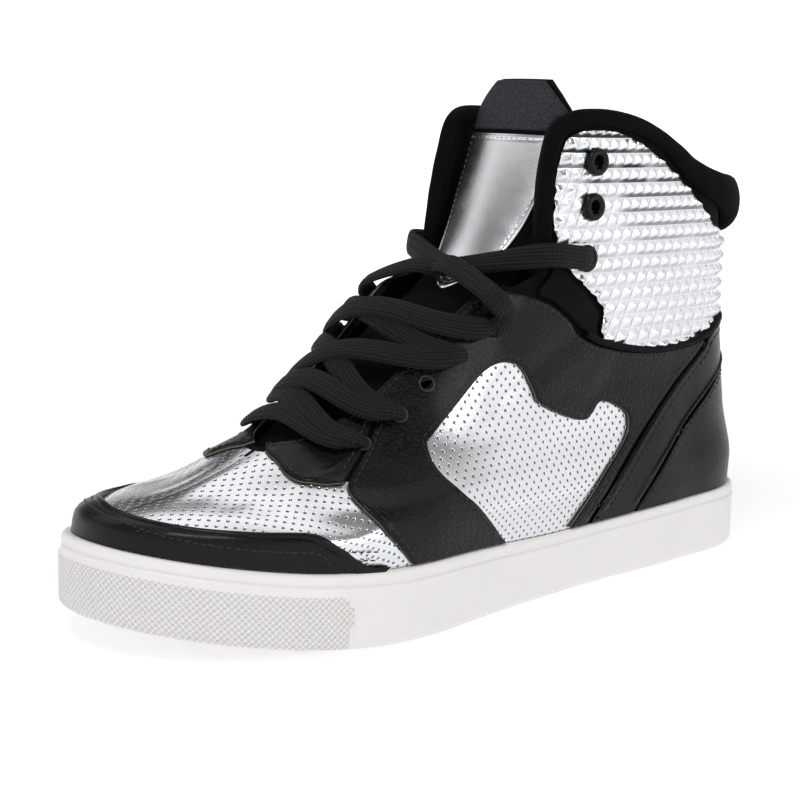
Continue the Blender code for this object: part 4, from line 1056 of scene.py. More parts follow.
def cut_edge(name, color):
    """Raw cut edge of chrome-tanned leather, fibrous and grey-brown."""
    made, tree, shader = shaded(name, Roughness=0.85, Specular_IOR_Level=0.3)
    place = object_place(tree)
    fibre = noise(tree, place, 0.8, 4.0, 0.7)
    tint(tree, shader, fibre, linear(color), linear("#4A4744"))
    set_bump(tree, shader, fibre, 0.15, 0.8)
    return made


def sewing_thread(name, color):
    """Bonded nylon thread, three-ply, with a slight gloss."""
    made, tree, shader = shaded(name, Roughness=0.5, Sheen_Weight=0.2)
    place = object_place(tree)
    ply = noise(tree, place, 0.5, 2.0)
    tint(tree, shader, ply, linear(color), linear("#0E0E10"))
    set_bump(tree, shader, ply, 0.1, 0.7)
    return made


def black_brass(name):
    """Brass eyelet, pressed and finished in black lacquer.

    The lacquer is glossy on the rolled rim, with fine rubbed marks.
    """
    made, tree, shader = shaded(name, Base_Color=linear("#0B0B0C"), Metallic=0.1, Roughness=0.26,
                                Coat_Weight=0.15, Coat_Roughness=0.12,
                                Specular_IOR_Level=0.3)
    place = object_place(tree)
    rub = noise(tree, place, 1.6, 5.0, 0.7)
    vary(tree, shader, "Roughness", rub, 0.28, 0.5)
    set_bump(tree, shader, rub, 0.03, 0.6)
    return made


def studio_floor(name, color):
    """Matt white studio paper, lit from below more strongly away from its middle."""
    made, tree, shader = shaded(name, Base_Color=linear(color), Roughness=0.95,
                                Specular_IOR_Level=0.05, Emission_Color=linear("#FFFFFF"))
    place = object_place(tree)
    away = moved_by(tree, "LENGTH", place)["Value"]
    tree.links.new(ranged(tree, away, 0.30, 0.90, 0.66, 0.95), shader.inputs["Emission Strength"])
    return made


def strip_fill(sheet, edges, lines, height):
    """Fills a rim in plan, cut by lines across the shoe; height gives z for x."""
    face = bmesh.ops.edgeloop_fill(sheet, edges=edges)["faces"][0]
    geometry = [face, *face.edges, *face.verts]
    for line in lines:
        geometry = bmesh.ops.bisect_plane(sheet, geom=geometry, dist=1e-4, plane_co=(line, 0, 0),
                                          plane_no=(1, 0, 0))["geom"]
    faces = [g for g in geometry if isinstance(g, bmesh.types.BMFace)]
    for face in faces:
        for vertex in face.verts:
            vertex.co.z = float(height(vertex.co.x))
    return faces


def guard_depth(x, share):
    """Distance inside the toe guard's rounded end and top edge."""
    ahead = x - BUMPER_START - 5.0 * (1 - share)
    below = (0.775 - share) * SOLE_SIDE
    corner = BUMPER_ROUND - np.hypot(np.clip(BUMPER_ROUND - ahead, 0, None),
                                     np.clip(BUMPER_ROUND - below, 0, None))
    return np.where((ahead < BUMPER_ROUND) & (below < BUMPER_ROUND), corner,
                    np.minimum(ahead, below))


def make_sole(rubber, grip, tread):
    """Cup sole with a lip, a groove round it, a toe guard, an arch and treads."""
    shares = sorted({row[0] for row in SIDE_PROFILE} | set(np.linspace(0.14, 0.76, 15)))
    rows = len(shares) + 2
    around = np.linspace(0, 2 * math.pi, 2001)
    edge = np.stack(sole_edge(around, 0.0), -1)
    arc = walked(edge)

    def place(across, up):
        turn = across * 2 * math.pi
        row = np.rint(up * rows).astype(int)
        share = np.interp(row - 1, range(len(shares)), shares)
        inset = np.where(row == 0, ARCH_INSET, table(SIDE_PROFILE, share))
        x, y = sole_edge(turn, inset)
        depth = guard_depth(x, share)
        wide = BUMPER_STEP * smooth_step(0.0, 1.4, depth) * smooth_step(0.0, 0.06, share)
        x_wide, y_wide = sole_edge(turn, inset - 1.0)
        x = x + (x_wide - x) * wide
        y = y + (y_wide - y) * wide
        z = spring(x) + (side_top(x) - spring(x)) * share
        z = np.where(row == 0, tread_height(x), z)
        made = np.stack((x, y, z), -1)
        for number, level in ((rows - 1, 0.0), (rows, BURIED)):
            inner = last_point(turn, np.full_like(turn, level))
            normal = last_normal(turn, np.full_like(turn, 0.0))
            normal[:, 2] = 0.0
            inner = inner + unit(normal) * FIT
            inner[:, 2] -= FIT * (number == rows)
            made = np.where((row == number)[:, None], inner, made)
        return made

    def pattern(across, up):
        turn = across * 2 * math.pi
        share = np.interp(np.rint(up * rows) - 1, range(len(shares)), shares)
        return np.stack((np.interp(turn, around, arc), share * SOLE_SIDE), -1)

    sheet = woven_grid(420, rows, place, pattern)
    weld(sheet)
    for face in sheet.faces:
        middle = face.calc_center_median()
        share = (middle.z - spring(middle.x)) / SOLE_SIDE
        if guard_depth(middle.x, share) > 1.0 and share > 0.04:
            face.material_index = 1
    rims = open_edges(sheet)
    below = [e for e in rims if all(v.co.z < tread_height(v.co.x) + 0.5 for v in e.verts)]
    above = [e for e in rims if e not in set(below)]
    strip_fill(sheet, above, np.arange(10.0, LENGTH, 8.0), floor_height)
    grooves = [share * LENGTH for first, last, count in GROOVES
               for share in np.linspace(first, last, count)]
    lines = sorted([*np.arange(12.0, LENGTH - 8, 6.0),
                    *(x + side * GROOVE_WIDTH / 2 for x in grooves for side in (-1, 1))])
    faces = strip_fill(sheet, below, lines, tread_height)
    for face in faces:
        face.material_index = 2
    for x in grooves:
        middle, half = sole_half(x)
        inside = [f for f in faces if f.is_valid
                  and abs(f.calc_center_median().x - x) < GROOVE_WIDTH / 2]
        geometry = with_corners(inside)
        for side in (-1, 1):
            line = middle + side * (half - GROOVE_MARGIN)
            geometry = bmesh.ops.bisect_plane(sheet, geom=geometry, dist=1e-4,
                                              plane_co=(0, line, 0), plane_no=(0, 1, 0))["geom"]
        sunk = [g for g in geometry if isinstance(g, bmesh.types.BMFace)
                and abs(g.calc_center_median().x - x) < GROOVE_WIDTH / 2
                and abs(g.calc_center_median().y - middle) < half - GROOVE_MARGIN]
        made = bmesh.ops.extrude_face_region(sheet, geom=sunk)
        raised = [g for g in made["geom"] if isinstance(g, bmesh.types.BMVert)]
        bmesh.ops.translate(sheet, verts=raised, vec=(0, 0, GROOVE_DEPTH))
        bmesh.ops.delete(sheet, geom=[f for f in sunk if f.is_valid], context="FACES")
    piece(sheet, "cup_sole", (rubber, grip, tread), "white_rubber", "cupsole", merge=0)


def make_insole(foam):
    """Moulded insole, dished up towards its rim."""
    turn = np.linspace(0, 2 * math.pi, 181)[:-1]
    edge = last_point(turn, np.zeros_like(turn))
    edge = edge - last_normal(turn, np.zeros_like(turn)) * (UPPER_WALL + 0.6)
    outline = edge[:, :2]
    rim = ((0.0, -1.5), (0.35, -0.7), (0.9, -0.2), (1.8, 0.0), (6.0, 0.0))
    sheet = flat_sheet(outline, rim, every(outline, 0, 5.0), every(outline, 1, 4.0))
    solid_sheet(sheet, -INSOLE_THICK + 0.1)

    def place(flat):
        x, y, z = flat.T
        middle = plan_middle(x)
        half = plan_half(x) * 0.9
        share = np.clip(np.abs(y - middle) / half, 0, 1)
        back = np.clip(1 - x / 40.0, 0, 1)
        rise = 2.4 * np.maximum(share, back) ** 4 * (z > -2.0)
        rise = rise - 1.1 * np.exp(-((x - 205) / 38) ** 2 - ((y - middle) / 26) ** 2) * (z > -2.0)
        return np.stack((x, y, floor_height(x) + FIT + INSOLE_THICK + z + rise), -1)

    move(sheet, place)
    made = piece(sheet, "insole_pad", (foam,) * 3, "insole_foam", "insole")


def ellipse(point_at, across, up, radius, across_mm, up_mm, sides):
    """Round hole on a flat sheet, as an ellipse in the sheet's own measure."""
    small = 1e-3
    wide = np.linalg.norm(point_at(across + small, up) - point_at(across - small, up)) / 2 / small
    tall = np.linalg.norm(point_at(across, up + small) - point_at(across, up - small)) / 2 / small
    return (across * across_mm, up * up_mm, radius / wide * across_mm, radius / tall * up_mm, sides)


def last_holes(side):
    """Eyelet bores and lace holes of one side, on the last's flat sheet."""
    def point_at(degrees, level):
        return last_point(np.array(math.radians(degrees)), np.array(level))

    bores = [ellipse(point_at, side * u, v, EYELET_BARREL + 0.3, DEGREE_MM, LEVEL_MM, 16)
             for _, u, v in EYELETS]
    laced = [ellipse(point_at, side * u, v, LACE_HOLE, DEGREE_MM, LEVEL_MM, 12)
             for _, u, v in LACE_HOLES]
    return bores, laced


def vamp_pattern(flat, points):
    """Place of each corner on the punched leather, in millimetres."""
    degrees = flat[:, 0] / DEGREE_MM
    level = flat[:, 1] / LEVEL_MM
    low = np.clip(0.12 - level, 0, None)
    points = np.where((low > 0)[:, None], last_surface(
        np.stack((degrees, np.maximum(level, 0.12)), -1)), points)
    ridge = last_point(np.full(80, math.pi), np.linspace(0, 0.42, 80))
    order = np.argsort(ridge[:, 0])
    top = np.interp(points[:, 0], ridge[order, 0], ridge[order, 2])
    middle = np.interp(points[:, 0], ridge[order, 0], ridge[order, 1])
    wide = np.abs(points[:, 1] - middle)
    over = (wide ** 1.5 + np.clip(top - points[:, 2], 0, None) ** 1.5) ** (1 / 1.5)
    ahead = np.abs(degrees) > np.interp(level, *PATTERN_TURNS)
    over += low * LEVEL_MM
    across = np.where(ahead, np.sign(points[:, 1] - middle) * over, points[:, 2] - low * LEVEL_MM)
    return np.stack((points[:, 0], across), -1)


def make_upper(silver, facing, lining):
    """One hollow wall of punched leather, lined, open at collar and throat."""
    line = curve_through(OPENING, closed=False, steps=3)
    other = line[::-1][1:] * (-1, 1)
    outline = np.vstack(([(-180.0, BURIED), (180.0, BURIED)], line, other)) * (DEGREE_MM, LEVEL_MM)
    holes = [hole for side in (1, -1) for group in last_holes(side) for hole in group]
    sheet = flat_sheet(outline, ((0.0, 0.0),), every(outline, 0, CELL_ACROSS),
                       every(outline, 1, CELL_UP), holes)
    solid_sheet(sheet, -UPPER_WALL, joined_at=180.0 * DEGREE_MM)
    for face in sheet.faces:
        middle = face.calc_center_median()
        degrees, level = abs(middle.x) / DEGREE_MM, middle.y / LEVEL_MM
        if face.material_index == 0 and (level > np.interp(degrees, *SILVER_TOP)
                                         or degrees < np.interp(level, *SILVER_BACK)):
            face.material_index = 3
    flat = corners(sheet)
    points = move(sheet, on_last)
    lay_uv(sheet, vamp_pattern(flat, points))
    weld(sheet, 2e-3)
    piece(sheet, "upper_shell", (silver, lining, lining, facing), "silver_leather", "upper",
          merge=0)


RIM = ((0.0, -0.62), (0.20, -0.24), (0.55, 0.0))
BEADED = ((0.0, -0.90), (0.25, -0.15), (0.8, 0.16), (1.6, 0.22), (2.4, -0.02), (2.8, -0.36),
          (3.2, -0.36), (3.7, 0.0), (5.0, 0.02))
CORDED = ((0.0, -0.70), (0.25, 0.02), (0.8, 0.52), (1.6, 0.72), (2.4, 0.50), (2.9, 0.02), (3.6, 0.0))
SEWN = ((0.0, -0.65), (0.25, -0.20), (0.7, 0.0), (1.5, 0.02), (1.9, -0.16), (2.3, 0.02), (3.0, 0.0))


def overlay(name, node, rows, looks, slot, top, rim=RIM, holes=(), faded=False):
    """Leather panel laid on the upper, rounded or beaded along its edge."""
    outline = flatten(rows)
    rim = tuple((distance, top + rise) for distance, rise in rim)
    sheet = flat_sheet(outline, rim, every(outline, 0, CELL_ACROSS), every(outline, 1, CELL_UP),
                       holes)
    if faded:
        for vertex in sheet.verts:
            keep = float(smooth_step(0.02, 0.05, vertex.co.y / LEVEL_MM))
            vertex.co.z = top + (vertex.co.z - top) * keep
    solid_sheet(sheet, FIT)
    move(sheet, on_last)
    return piece(sheet, name, looks, slot, node)


def make_overlays(smooth, pebbled, edge, fabric):
    """Toe cap, throat guards, quarters, heel strap and heel counter."""
    overlay("toe_cap_leather", "toe_cap", TOE_CAP, (smooth, edge, smooth), "black_leather",
            TOE_CAP_TOP, BEADED, faded=True)
    overlay("heel_strap_leather", "heel_strap", strap_rows(), (smooth,) * 3,
            "black_leather", OVERLAY_TOP, CORDED, faded=True)
    overlay("heel_counter_leather", "heel_counter", both_sides(HEEL_COUNTER),
            (smooth,) * 3, "black_leather", OVERLAY_TOP)
    for side, word in SIDES:
        overlay("throat_guard_leather_" + word, "throat_guard_" + word,
                side_rows(THROAT_GUARD, side), (smooth, edge, smooth), "black_leather", OVERLAY_TOP)
        overlay("quarter_leather_" + word, "quarter_" + word, side_rows(QUARTER, side),
                (pebbled, edge, pebbled), "black_leather", OVERLAY_TOP, holes=last_holes(side)[1])
        overlay("gusset_fabric_" + word, "gusset_" + word, side_rows(GUSSET, side),
                (fabric,) * 3, "black_fabric", OVERLAY_TOP)


def stud(across, up):
    """Height of a blunt pyramid at two shares of its width, from 0 at its edges to 1."""
    away = max(abs(2 * (share % 1.0) - 1) for share in (across, up))
    return min(max(STUD_FOOT - away, 0.0) / (STUD_FOOT - STUD_FLAT), 1.0)


def make_collar_panels(foil, edge, pitch, rise):
    """Padded collar panels pressed into rows of studs level with the floor."""
    turns = np.linspace(0, math.pi, 721)
    reach = walked(last_point(turns, np.full_like(turns, STUD_LEVEL)))

    def to_last(flat):
        turn = np.interp(np.abs(flat[:, 0]), reach, turns)
        low = np.full(len(flat), 0.35)
        high = np.full(len(flat), 1.05)
        for _ in range(22):
            middle = (low + high) / 2
            under = last_point(turn, middle)[:, 2] < flat[:, 1]
            low = np.where(under, middle, low)
            high = np.where(under, high, middle)
        return turn, (low + high) / 2

    for side, word in SIDES:
        path = curve_through(side_rows(COLLAR_PANEL, side))
        turn = np.radians(np.abs(path[:, 0]))
        heights = last_point(turn, path[:, 1])[:, 2]
        outline = np.stack((side * np.interp(turn, turns, reach), heights), -1)
        lines = []
        for axis in (0, 1):
            first = math.floor(outline[:, axis].min() / pitch)
            last = math.ceil(outline[:, axis].max() / pitch)
            lines.append([(k + part) * pitch for k in range(first, last) for part in STUD_CUTS])
        holes = []
        for _, degrees, level in EYELETS:
            at = math.radians(degrees)
            holes.append((side * float(np.interp(at, turns, reach)),
                          float(last_point(np.array(at), np.array(level))[2]),
                          EYELET_BARREL + 0.3, EYELET_BARREL + 0.3, 12))
        rim = ((0.0, -0.45), (0.5, -0.1), (1.2, 0.0))
        sheet = flat_sheet(outline, rim, *lines, holes)
        for vertex in sheet.verts:
            height = stud(vertex.co.x / pitch, vertex.co.y / pitch)
            vertex.co.z = vertex.co.z * (0.4 + 0.6 * height) + STUD_BASE + rise * height
        bmesh.ops.triangulate(sheet, faces=[f for f in sheet.faces if len(f.verts) == 4],
                              quad_method="LONG_EDGE")
        solid_sheet(sheet, FIT)
        lay_uv(sheet, corners(sheet)[:, :2] / pitch)

        def place(flat):
            turn, level = to_last(flat)
            turn = turn * side
            return last_point(turn, level) + last_normal(turn, level) * (
                flat[:, 2] + creased(turn, level) * 0.6)[:, None]

        move(sheet, place)
        made = piece(sheet, "collar_studs_" + word, (foil, edge, edge), "silver_quilt",
                     "collar_panel_" + word, angle=42.0)


def make_binding(fabric):
    """Padded fabric that wraps the collar's edge and swells into the heel roll."""
    collar = [row[1] >= COLLAR_START for row in OPENING].index(True)
    half = curve_through(OPENING[collar:], closed=False, steps=8)
    path = np.vstack((half, half[::-1][1:] * (-1, 1)))
    length = walked(last_surface(path))
    count = 260
    at = np.linspace(0, length[-1], count + 1)
    path = along(path, length, at)
    share = np.interp(np.abs(path[:, 0]), COLLAR_SHARE[::-1, 0], COLLAR_SHARE[::-1, 1])
    front = np.minimum(at, length[-1] - at) < length[-1] * 0.16
    share = np.where(front, np.minimum(at, length[-1] - at) / length[-1] * 1.63, share)
    depth, outer, inner, rise = (
        size * table(BINDING, share, c)
        for c, size in enumerate((ROLL_DEPTH, ROLL_OUTSIDE, ROLL_INSIDE, ROLL_RISE), 1))
    normal = last_normal(np.radians(path[:, 0]), path[:, 1])
    edge = last_surface(path)
    tangent = np.gradient(edge, axis=0)
    inward = -unit(np.cross(normal, tangent))
    gap = np.full_like(depth, 0.5)
    wall = UPPER_WALL
    profile = [(depth, gap), (depth * 1.0, outer * 0.55), (depth * 0.72, outer),
               (depth * 0.25, outer), (-rise * 0.7, outer * 0.55),
               (-rise, np.full_like(depth, -wall / 2)), (-rise * 0.6, -wall - inner * 0.6),
               (depth * 0.3, -wall - inner), (depth * 0.75, -wall - inner),
               (depth, -wall - inner * 0.5), (depth, -wall - gap)]
    rings = []
    for k in range(len(profile) - 1):
        near = [np.stack(profile[min(max(n, 0), len(profile) - 1)], -1)
                for n in (k - 1, k, k + 1, k + 2)]
        rings += [catmull(near, t) for t in (0.0, 0.34, 0.67)]
    rings += [np.stack(profile[-1], -1), np.stack((-gap, -wall - gap), -1), np.stack((-gap, gap), -1)]
    inside = inner_path(path, 1.0, last_surface, 1.0, closed=False) - path
    roll = smooth_step(0.55, 0.85, share)
    places = []
    for number, ring in enumerate(rings):
        distance, offset = ring[:, 0], ring[:, 1]
        round_it = math.sin(math.pi * number / (len(rings) - 3)) if number < len(rings) - 2 else 0.0
        fold = np.sin(at / 3.3 + 2.2 * np.sin(at / 11.0) + number * 0.35) * 0.22 * roll
        fold += np.sin(at / 1.9 + number * 0.5) * 0.07
        fold *= round_it
        offset = offset + fold * np.sign(offset + wall / 2)
        moved = path + inside * np.clip(distance, 0, None)[:, None]
        base = last_surface(moved) + inward * np.minimum(distance, 0)[:, None]
        turned = np.where((distance > 0)[:, None],
                          last_normal(np.radians(moved[:, 0]), moved[:, 1]), normal)
        places.append(base + turned * offset[:, None])
    places = np.array(places)
    rows = len(places)

    def place(across, up):
        station = np.rint(across * count).astype(int)
        return places[np.rint(up * rows).astype(int) % rows, station]

    sheet = woven_grid(count, rows, place)
    weld(sheet)
    bmesh.ops.holes_fill(sheet, edges=open_edges(sheet))
    made = piece(sheet, "collar_roll", (fabric,), "black_fabric", "collar_binding", merge=0)


def tongue_sheet(rows, rim, top, step_across=3.0):
    """Flat sheet on the tongue, for the tongue or what is sewn on it."""
    outline = flatten(rows, TONGUE_MM)
    rim = tuple((distance, top + rise) for distance, rise in rim)
    return flat_sheet(outline, rim, every(outline, 0, step_across), every(outline, 1, CELL_UP))


def make_tongue(soft, lining, silver, tip):
    """Padded tongue with a sewn border, its bare badge and its tip."""
    rows = ((-1, TONGUE[0][0], 1), (1, TONGUE[0][0], 1), (1, TONGUE[-1][0], 1),
            (-1, TONGUE[-1][0], 1))
    rim = ((0.0, -2.2), (0.5, -1.25), (1.3, -0.6), (2.6, -0.2), (4.4, 0.0), (5.2, -0.12),
           (5.8, -0.55), (6.4, -0.12), (7.4, 0.0), (10.0, 0.1))
    sheet = tongue_sheet(rows, rim, 0.0, 2.6)
    solid_sheet(sheet, 0.0, back=lambda z: -TONGUE_THICK - 0.8 * z)
    for face in sheet.faces:
        if face.material_index == 1 and face.calc_center_median().y / LEVEL_MM > TIP[0][1]:
            face.material_index = 2
    move(sheet, on_tongue)
    made = piece(sheet, "tongue_pad", (soft, soft, lining), "black_leather", "tongue")
    for name, node, outline, looks, slot in (
            ("tongue_badge_bare", "tongue_badge", BADGE, (silver,) * 3, "silver_leather"),
            ("tongue_tip_patch", "tongue_tip", TIP, (tip,) * 3, "black_leather")):
        sheet = tongue_sheet(outline, SEWN, PATCH_TOP)
        solid_sheet(sheet, FIT)
        move(sheet, on_tongue)
        piece(sheet, name, looks, slot, node)


def stand(sheet, verts, point, normal):
    """Stands a shape made at the origin on a point, along a direction."""
    turn = Vector(normal).to_track_quat("Z", "Y").to_matrix().to_4x4()
    bmesh.ops.transform(sheet, verts=verts, matrix=Matrix.Translation(Vector(point)) @ turn)


def turned_shape(sheet, profile, steps):
    """Full turn of a closed profile of radius and height; returns its corners."""
    ring = [sheet.verts.new((r, 0, z)) for r, z in profile]
    edges = [sheet.edges.new((ring[k], ring[(k + 1) % len(ring)])) for k in range(len(ring))]
    bmesh.ops.spin(sheet, geom=ring + edges, cent=(0, 0, 0), axis=(0, 0, 1),
                   angle=2 * math.pi, steps=steps, use_merge=True)
    return [v for v in sheet.verts if not v.tag]


def make_eyelets(metal, thread):
    """Pressed eyelets of the collar and the sewn rings of the lace holes."""
    rounds = [math.radians(a) for a in range(0, 181, 20)]
    lip = (EYELET_RADIUS - EYELET_HOLE) / 2
    profile = [(EYELET_HOLE, -UPPER_WALL), (EYELET_BARREL, -UPPER_WALL), (EYELET_BARREL, 1.7),
               (EYELET_RADIUS - 0.15, 1.7)]
    profile += [(EYELET_HOLE + lip + lip * math.cos(a), 2.3 + 1.35 * math.sin(a)) for a in rounds]
    for side, word in SIDES:
        for name, degrees, level in EYELETS:
            sheet = bmesh.new()
            verts = turned_shape(sheet, profile, 40)
            stand(sheet, verts, *last_spot(side * degrees, level))
            piece(sheet, "pressed_eyelet_%s_%s" % (name, word), (metal,), "black_metal",
                  "eyelet_%s_%s" % (name, word))
    sheet = bmesh.new()
    bead = [(LACE_HOLE + 0.45 + 0.42 * math.cos(a), OVERLAY_TOP + 0.12 + 0.34 * math.sin(a))
            for a in np.linspace(0, 2 * math.pi, 9)[:-1]]
    for side in (1, -1):
        for _, degrees, level in LACE_HOLES:
            for vertex in sheet.verts:
                vertex.tag = True
            verts = turned_shape(sheet, bead, 24)
            stand(sheet, verts, *last_spot(side * degrees, level))
    piece(sheet, "lace_hole_rings", (thread,), "black_leather")


def pinched(walk, width, thickness, narrow, thick):
    """Width and thickness of a lace, narrowed and thickened where it goes into a hole."""
    free = smooth_step(0.0, LACE_PINCH, np.minimum(walk, walk[-1] - walk))
    return width * (narrow + (1 - narrow) * free), thickness * (thick - (thick - 1) * free)


def lace_band(points, normals, widths, thicks):
    """Flat lace along a path, with its pattern's places along and across it."""
    length = walked(points)
    tangent = np.gradient(points, axis=0)
    side = unit(np.cross(normals, tangent))
    up = unit(np.cross(tangent, side))
    count = len(points) - 1

    def profile(up_share):
        angle = up_share * 2 * math.pi
        wide = np.sign(np.cos(angle)) * np.abs(np.cos(angle)) ** 0.62
        tall = np.sign(np.sin(angle)) * np.abs(np.sin(angle)) ** 0.85
        return wide, tall

    def place(across, up_share):
        k = np.rint(across * count).astype(int)
        wide, tall = profile(up_share)
        cup = -LACE_CUP * (1 - wide ** 2)
        return (points[k] + side[k] * (wide * widths[k] / 2)[:, None]
                + up[k] * (thicks[k] * (0.5 + 0.5 * tall) - cup)[:, None])

    def pattern(across, up_share):
        k = np.rint(across * count).astype(int)
        return np.stack((length[k], profile(up_share)[0] * widths[k] / 2), -1)

    sheet = woven_grid(count, LACE_SIDES, place, pattern)
    weld(sheet)
    bmesh.ops.holes_fill(sheet, edges=open_edges(sheet))
    return sheet


def joined(sheets):
    """One mesh of several."""
    whole = bmesh.new()
    for sheet in sheets:
        part = bpy.data.meshes.new("part")
        sheet.to_mesh(part)
        sheet.free()
        whole.from_mesh(part)
        bpy.data.meshes.remove(part)
    return whole


def make_laces(lace, width, thickness):
    """Crossed flat lace over the throat, and the two bars from the low eyelets."""
    holes = {name: (degrees, level) for name, degrees, level in LACE_HOLES}
    sheets = []
    for outer, inner, over, base in CROSSINGS:
        start = np.array(holes[outer])
        end = np.array((360.0 - holes[inner][0], holes[inner][1]))
        share = np.linspace(0, 1, 61)
        path = start + (end - start) * share[:, None]
        path[:, 1] += LACE_ARCH * np.sin(math.pi * share) ** 2
        ground = last_surface(path)
        walk = walked(ground)
        near = np.minimum(walk, walk[-1] - walk)
        lift = table(LACE_DIVE, near) + base * smooth_step(1.0, 5.0, near)
        lift = lift + over * 1.3 * np.sin(math.pi * share) ** 2
        normal = last_normal(np.radians(path[:, 0]), path[:, 1])
        sheets.append(lace_band(ground + normal * lift[:, None], normal,
                                *pinched(walk, width, thickness, 0.52, 1.45)))
    piece(joined(sheets), "laced_crossings", (lace,), "black_lace", "lace_crossings", merge=0)
    bars = [lace_bar(side, over, width, thickness) for side, over in ((1, 0.0), (-1, BAR_OVER))]
    piece(joined(bars), "laced_bar", (lace,), "black_lace", "lace_bar", merge=0)


def lace_bar(side, over, width, thickness):
    """Lace from one side's low eyelet over the tongue to the other side's fifth hole."""
    _, degrees, level = EYELETS[-1]
    _, end, end_level = LACE_HOLES[-1]
    rows = (("last", degrees, level, -1.2), ("last", degrees + 1.2, level, 2.6), *BAR,
            ("last", 360 - end - 0.6, end_level + 0.004, 3.4), ("last", 360 - end, end_level, -1.0))
    keys = []
    for k, (surface, across, up, lift) in enumerate(rows):
        if surface == "last":
            point, normal = last_spot(side * across, up)
        else:
            spot = np.array(side * across), np.array(up)
            point, normal = tongue_point(*spot), tongue_normal(*spot)
        middle = math.sin(math.pi * min(max(k - 2, 0), len(BAR) - 1) / (len(BAR) - 1)) ** 2
        keys.append(np.concatenate((point + normal * (lift + over * middle), normal)))
    keys = np.array(keys)
    dense = np.array([catmull([keys[min(max(k + n, 0), len(keys) - 1)] for n in (-1, 0, 1, 2)], t)
                      for k in range(len(keys) - 1) for t in np.linspace(0, 1, 9)[:-1]])
    even = resampled(dense, 1.5)
    points = even[:, :3]
    return lace_band(points, unit(even[:, 3:]),
                     *pinched(walked(points), width, thickness, 0.45, 1.5))


def make_pull_strip(webbing):
    """Strip of webbing that hangs from the heel roll, standing off at its end."""
    rows = ((-7.0, 0.555, 0), (7.0, 0.555, 0), (8.0, 0.575, 0), (8.0, 0.70, 1), (-8.0, 0.70, 1),
            (-8.0, 0.575, 0))
    outline = flatten(rows)
    rim = ((0.0, 2.9), (0.3, 3.5), (0.8, 3.9), (1.6, 3.8))
    sheet = flat_sheet(outline, rim, every(outline, 0, 1.7), every(outline, 1, 1.8))
    solid_sheet(sheet, 2.5)

    def place(flat):
        stood = 1.6 * smooth_step(0.64, 0.56, flat[:, 1] / LEVEL_MM)
        stood = stood + 0.4 * np.sin(flat[:, 1] / 3.0 + flat[:, 0] / 6.0)
        return on_last(np.stack((flat[:, 0], flat[:, 1], flat[:, 2] + stood), -1))

    flat = corners(sheet)
    move(sheet, place)
    lay_uv(sheet, np.stack((flat[:, 1], flat[:, 0]), -1))
    piece(sheet, "heel_pull_strip", (webbing,) * 3, "black_fabric", "pull_strip")


def make_piping(fabric):
    """Corded seam between the collar panels and the leather below them."""
    path = curve_through((*mirrored(PIPING)[:-1], *PIPING), closed=False, steps=10)
    turn = np.radians(path[:, 0])
    normals = last_normal(turn, path[:, 1])
    points = last_point(turn, path[:, 1]) + normals * 0.6
    size = np.full(len(points), PIPING_SIZE)
    sheet = lace_band(points, normals, size, size * 0.8)
    piece(sheet, "collar_piping", (fabric,), "black_fabric", merge=0)


def stitch_row(sheet, points, normals, pitch, length, radius):
    """Row of stitches along a path, each a slim bead lying on the surface."""
    both = np.hstack((points, normals))
    walk = walked(points)
    bead = bmesh.new()
    bmesh.ops.create_uvsphere(bead, u_segments=6, v_segments=4, radius=1.0)
    round_bead = bpy.data.meshes.new("bead")
    bead.to_mesh(round_bead)
    bead.free()
    for k in range(int(walk[-1] / pitch)):
        middle = k * pitch + pitch / 2
        spot, ahead = along(both, walk, np.array((middle, middle + 0.5)))
        forward = Vector(ahead[:3] - spot[:3]).normalized()
        up = Vector(spot[3:]).normalized()
        side = up.cross(forward).normalized()
        matrix = Matrix((forward * length / 2, side * radius, up * radius)).transposed().to_4x4()
        matrix.translation = Vector(spot[:3])
        one = round_bead.copy()
        one.transform(matrix)
        sheet.from_mesh(one)
        bpy.data.meshes.remove(one)
    bpy.data.meshes.remove(round_bead)


def sew(sheet, rows, distance, top, surface="last", low=0.03, pitch=3.2, length=2.5,
        radius=0.28):
    """Stitches inside an outline, where it is above the sole."""
    on_the_last = surface == "last"
    path = curve_through(rows, steps=8)
    area = 0.5 * np.sum(path[:, 0] * np.roll(path[:, 1], -1) - np.roll(path[:, 0], -1) * path[:, 1])
    placed = last_surface if on_the_last else tongue_surface
    direction = 1.0 if area > 0 else -1.0
    inside = inner_path(path, distance, placed, direction, small=0.2 if on_the_last else 0.01)
    keep = inside[:, 1] > low
    scale = DEGREE_MM if on_the_last else TONGUE_MM
    flat = np.hstack((inside * (scale, LEVEL_MM), np.full((len(inside), 1), top)))
    put = on_last if on_the_last else on_tongue
    points = put(flat)
    flat[:, 2] += 1.0
    normals = put(flat) - points
    start = int(np.argmin(keep)) if not keep.all() else 0
    order = np.roll(np.arange(len(path)), -start)
    run = []
    for k in [*order, None]:
        if k is not None and keep[k]:
            run.append(k)
            continue
        if len(run) > 2:
            stitch_row(sheet, points[run], normals[run], pitch, length, radius)
        run = []


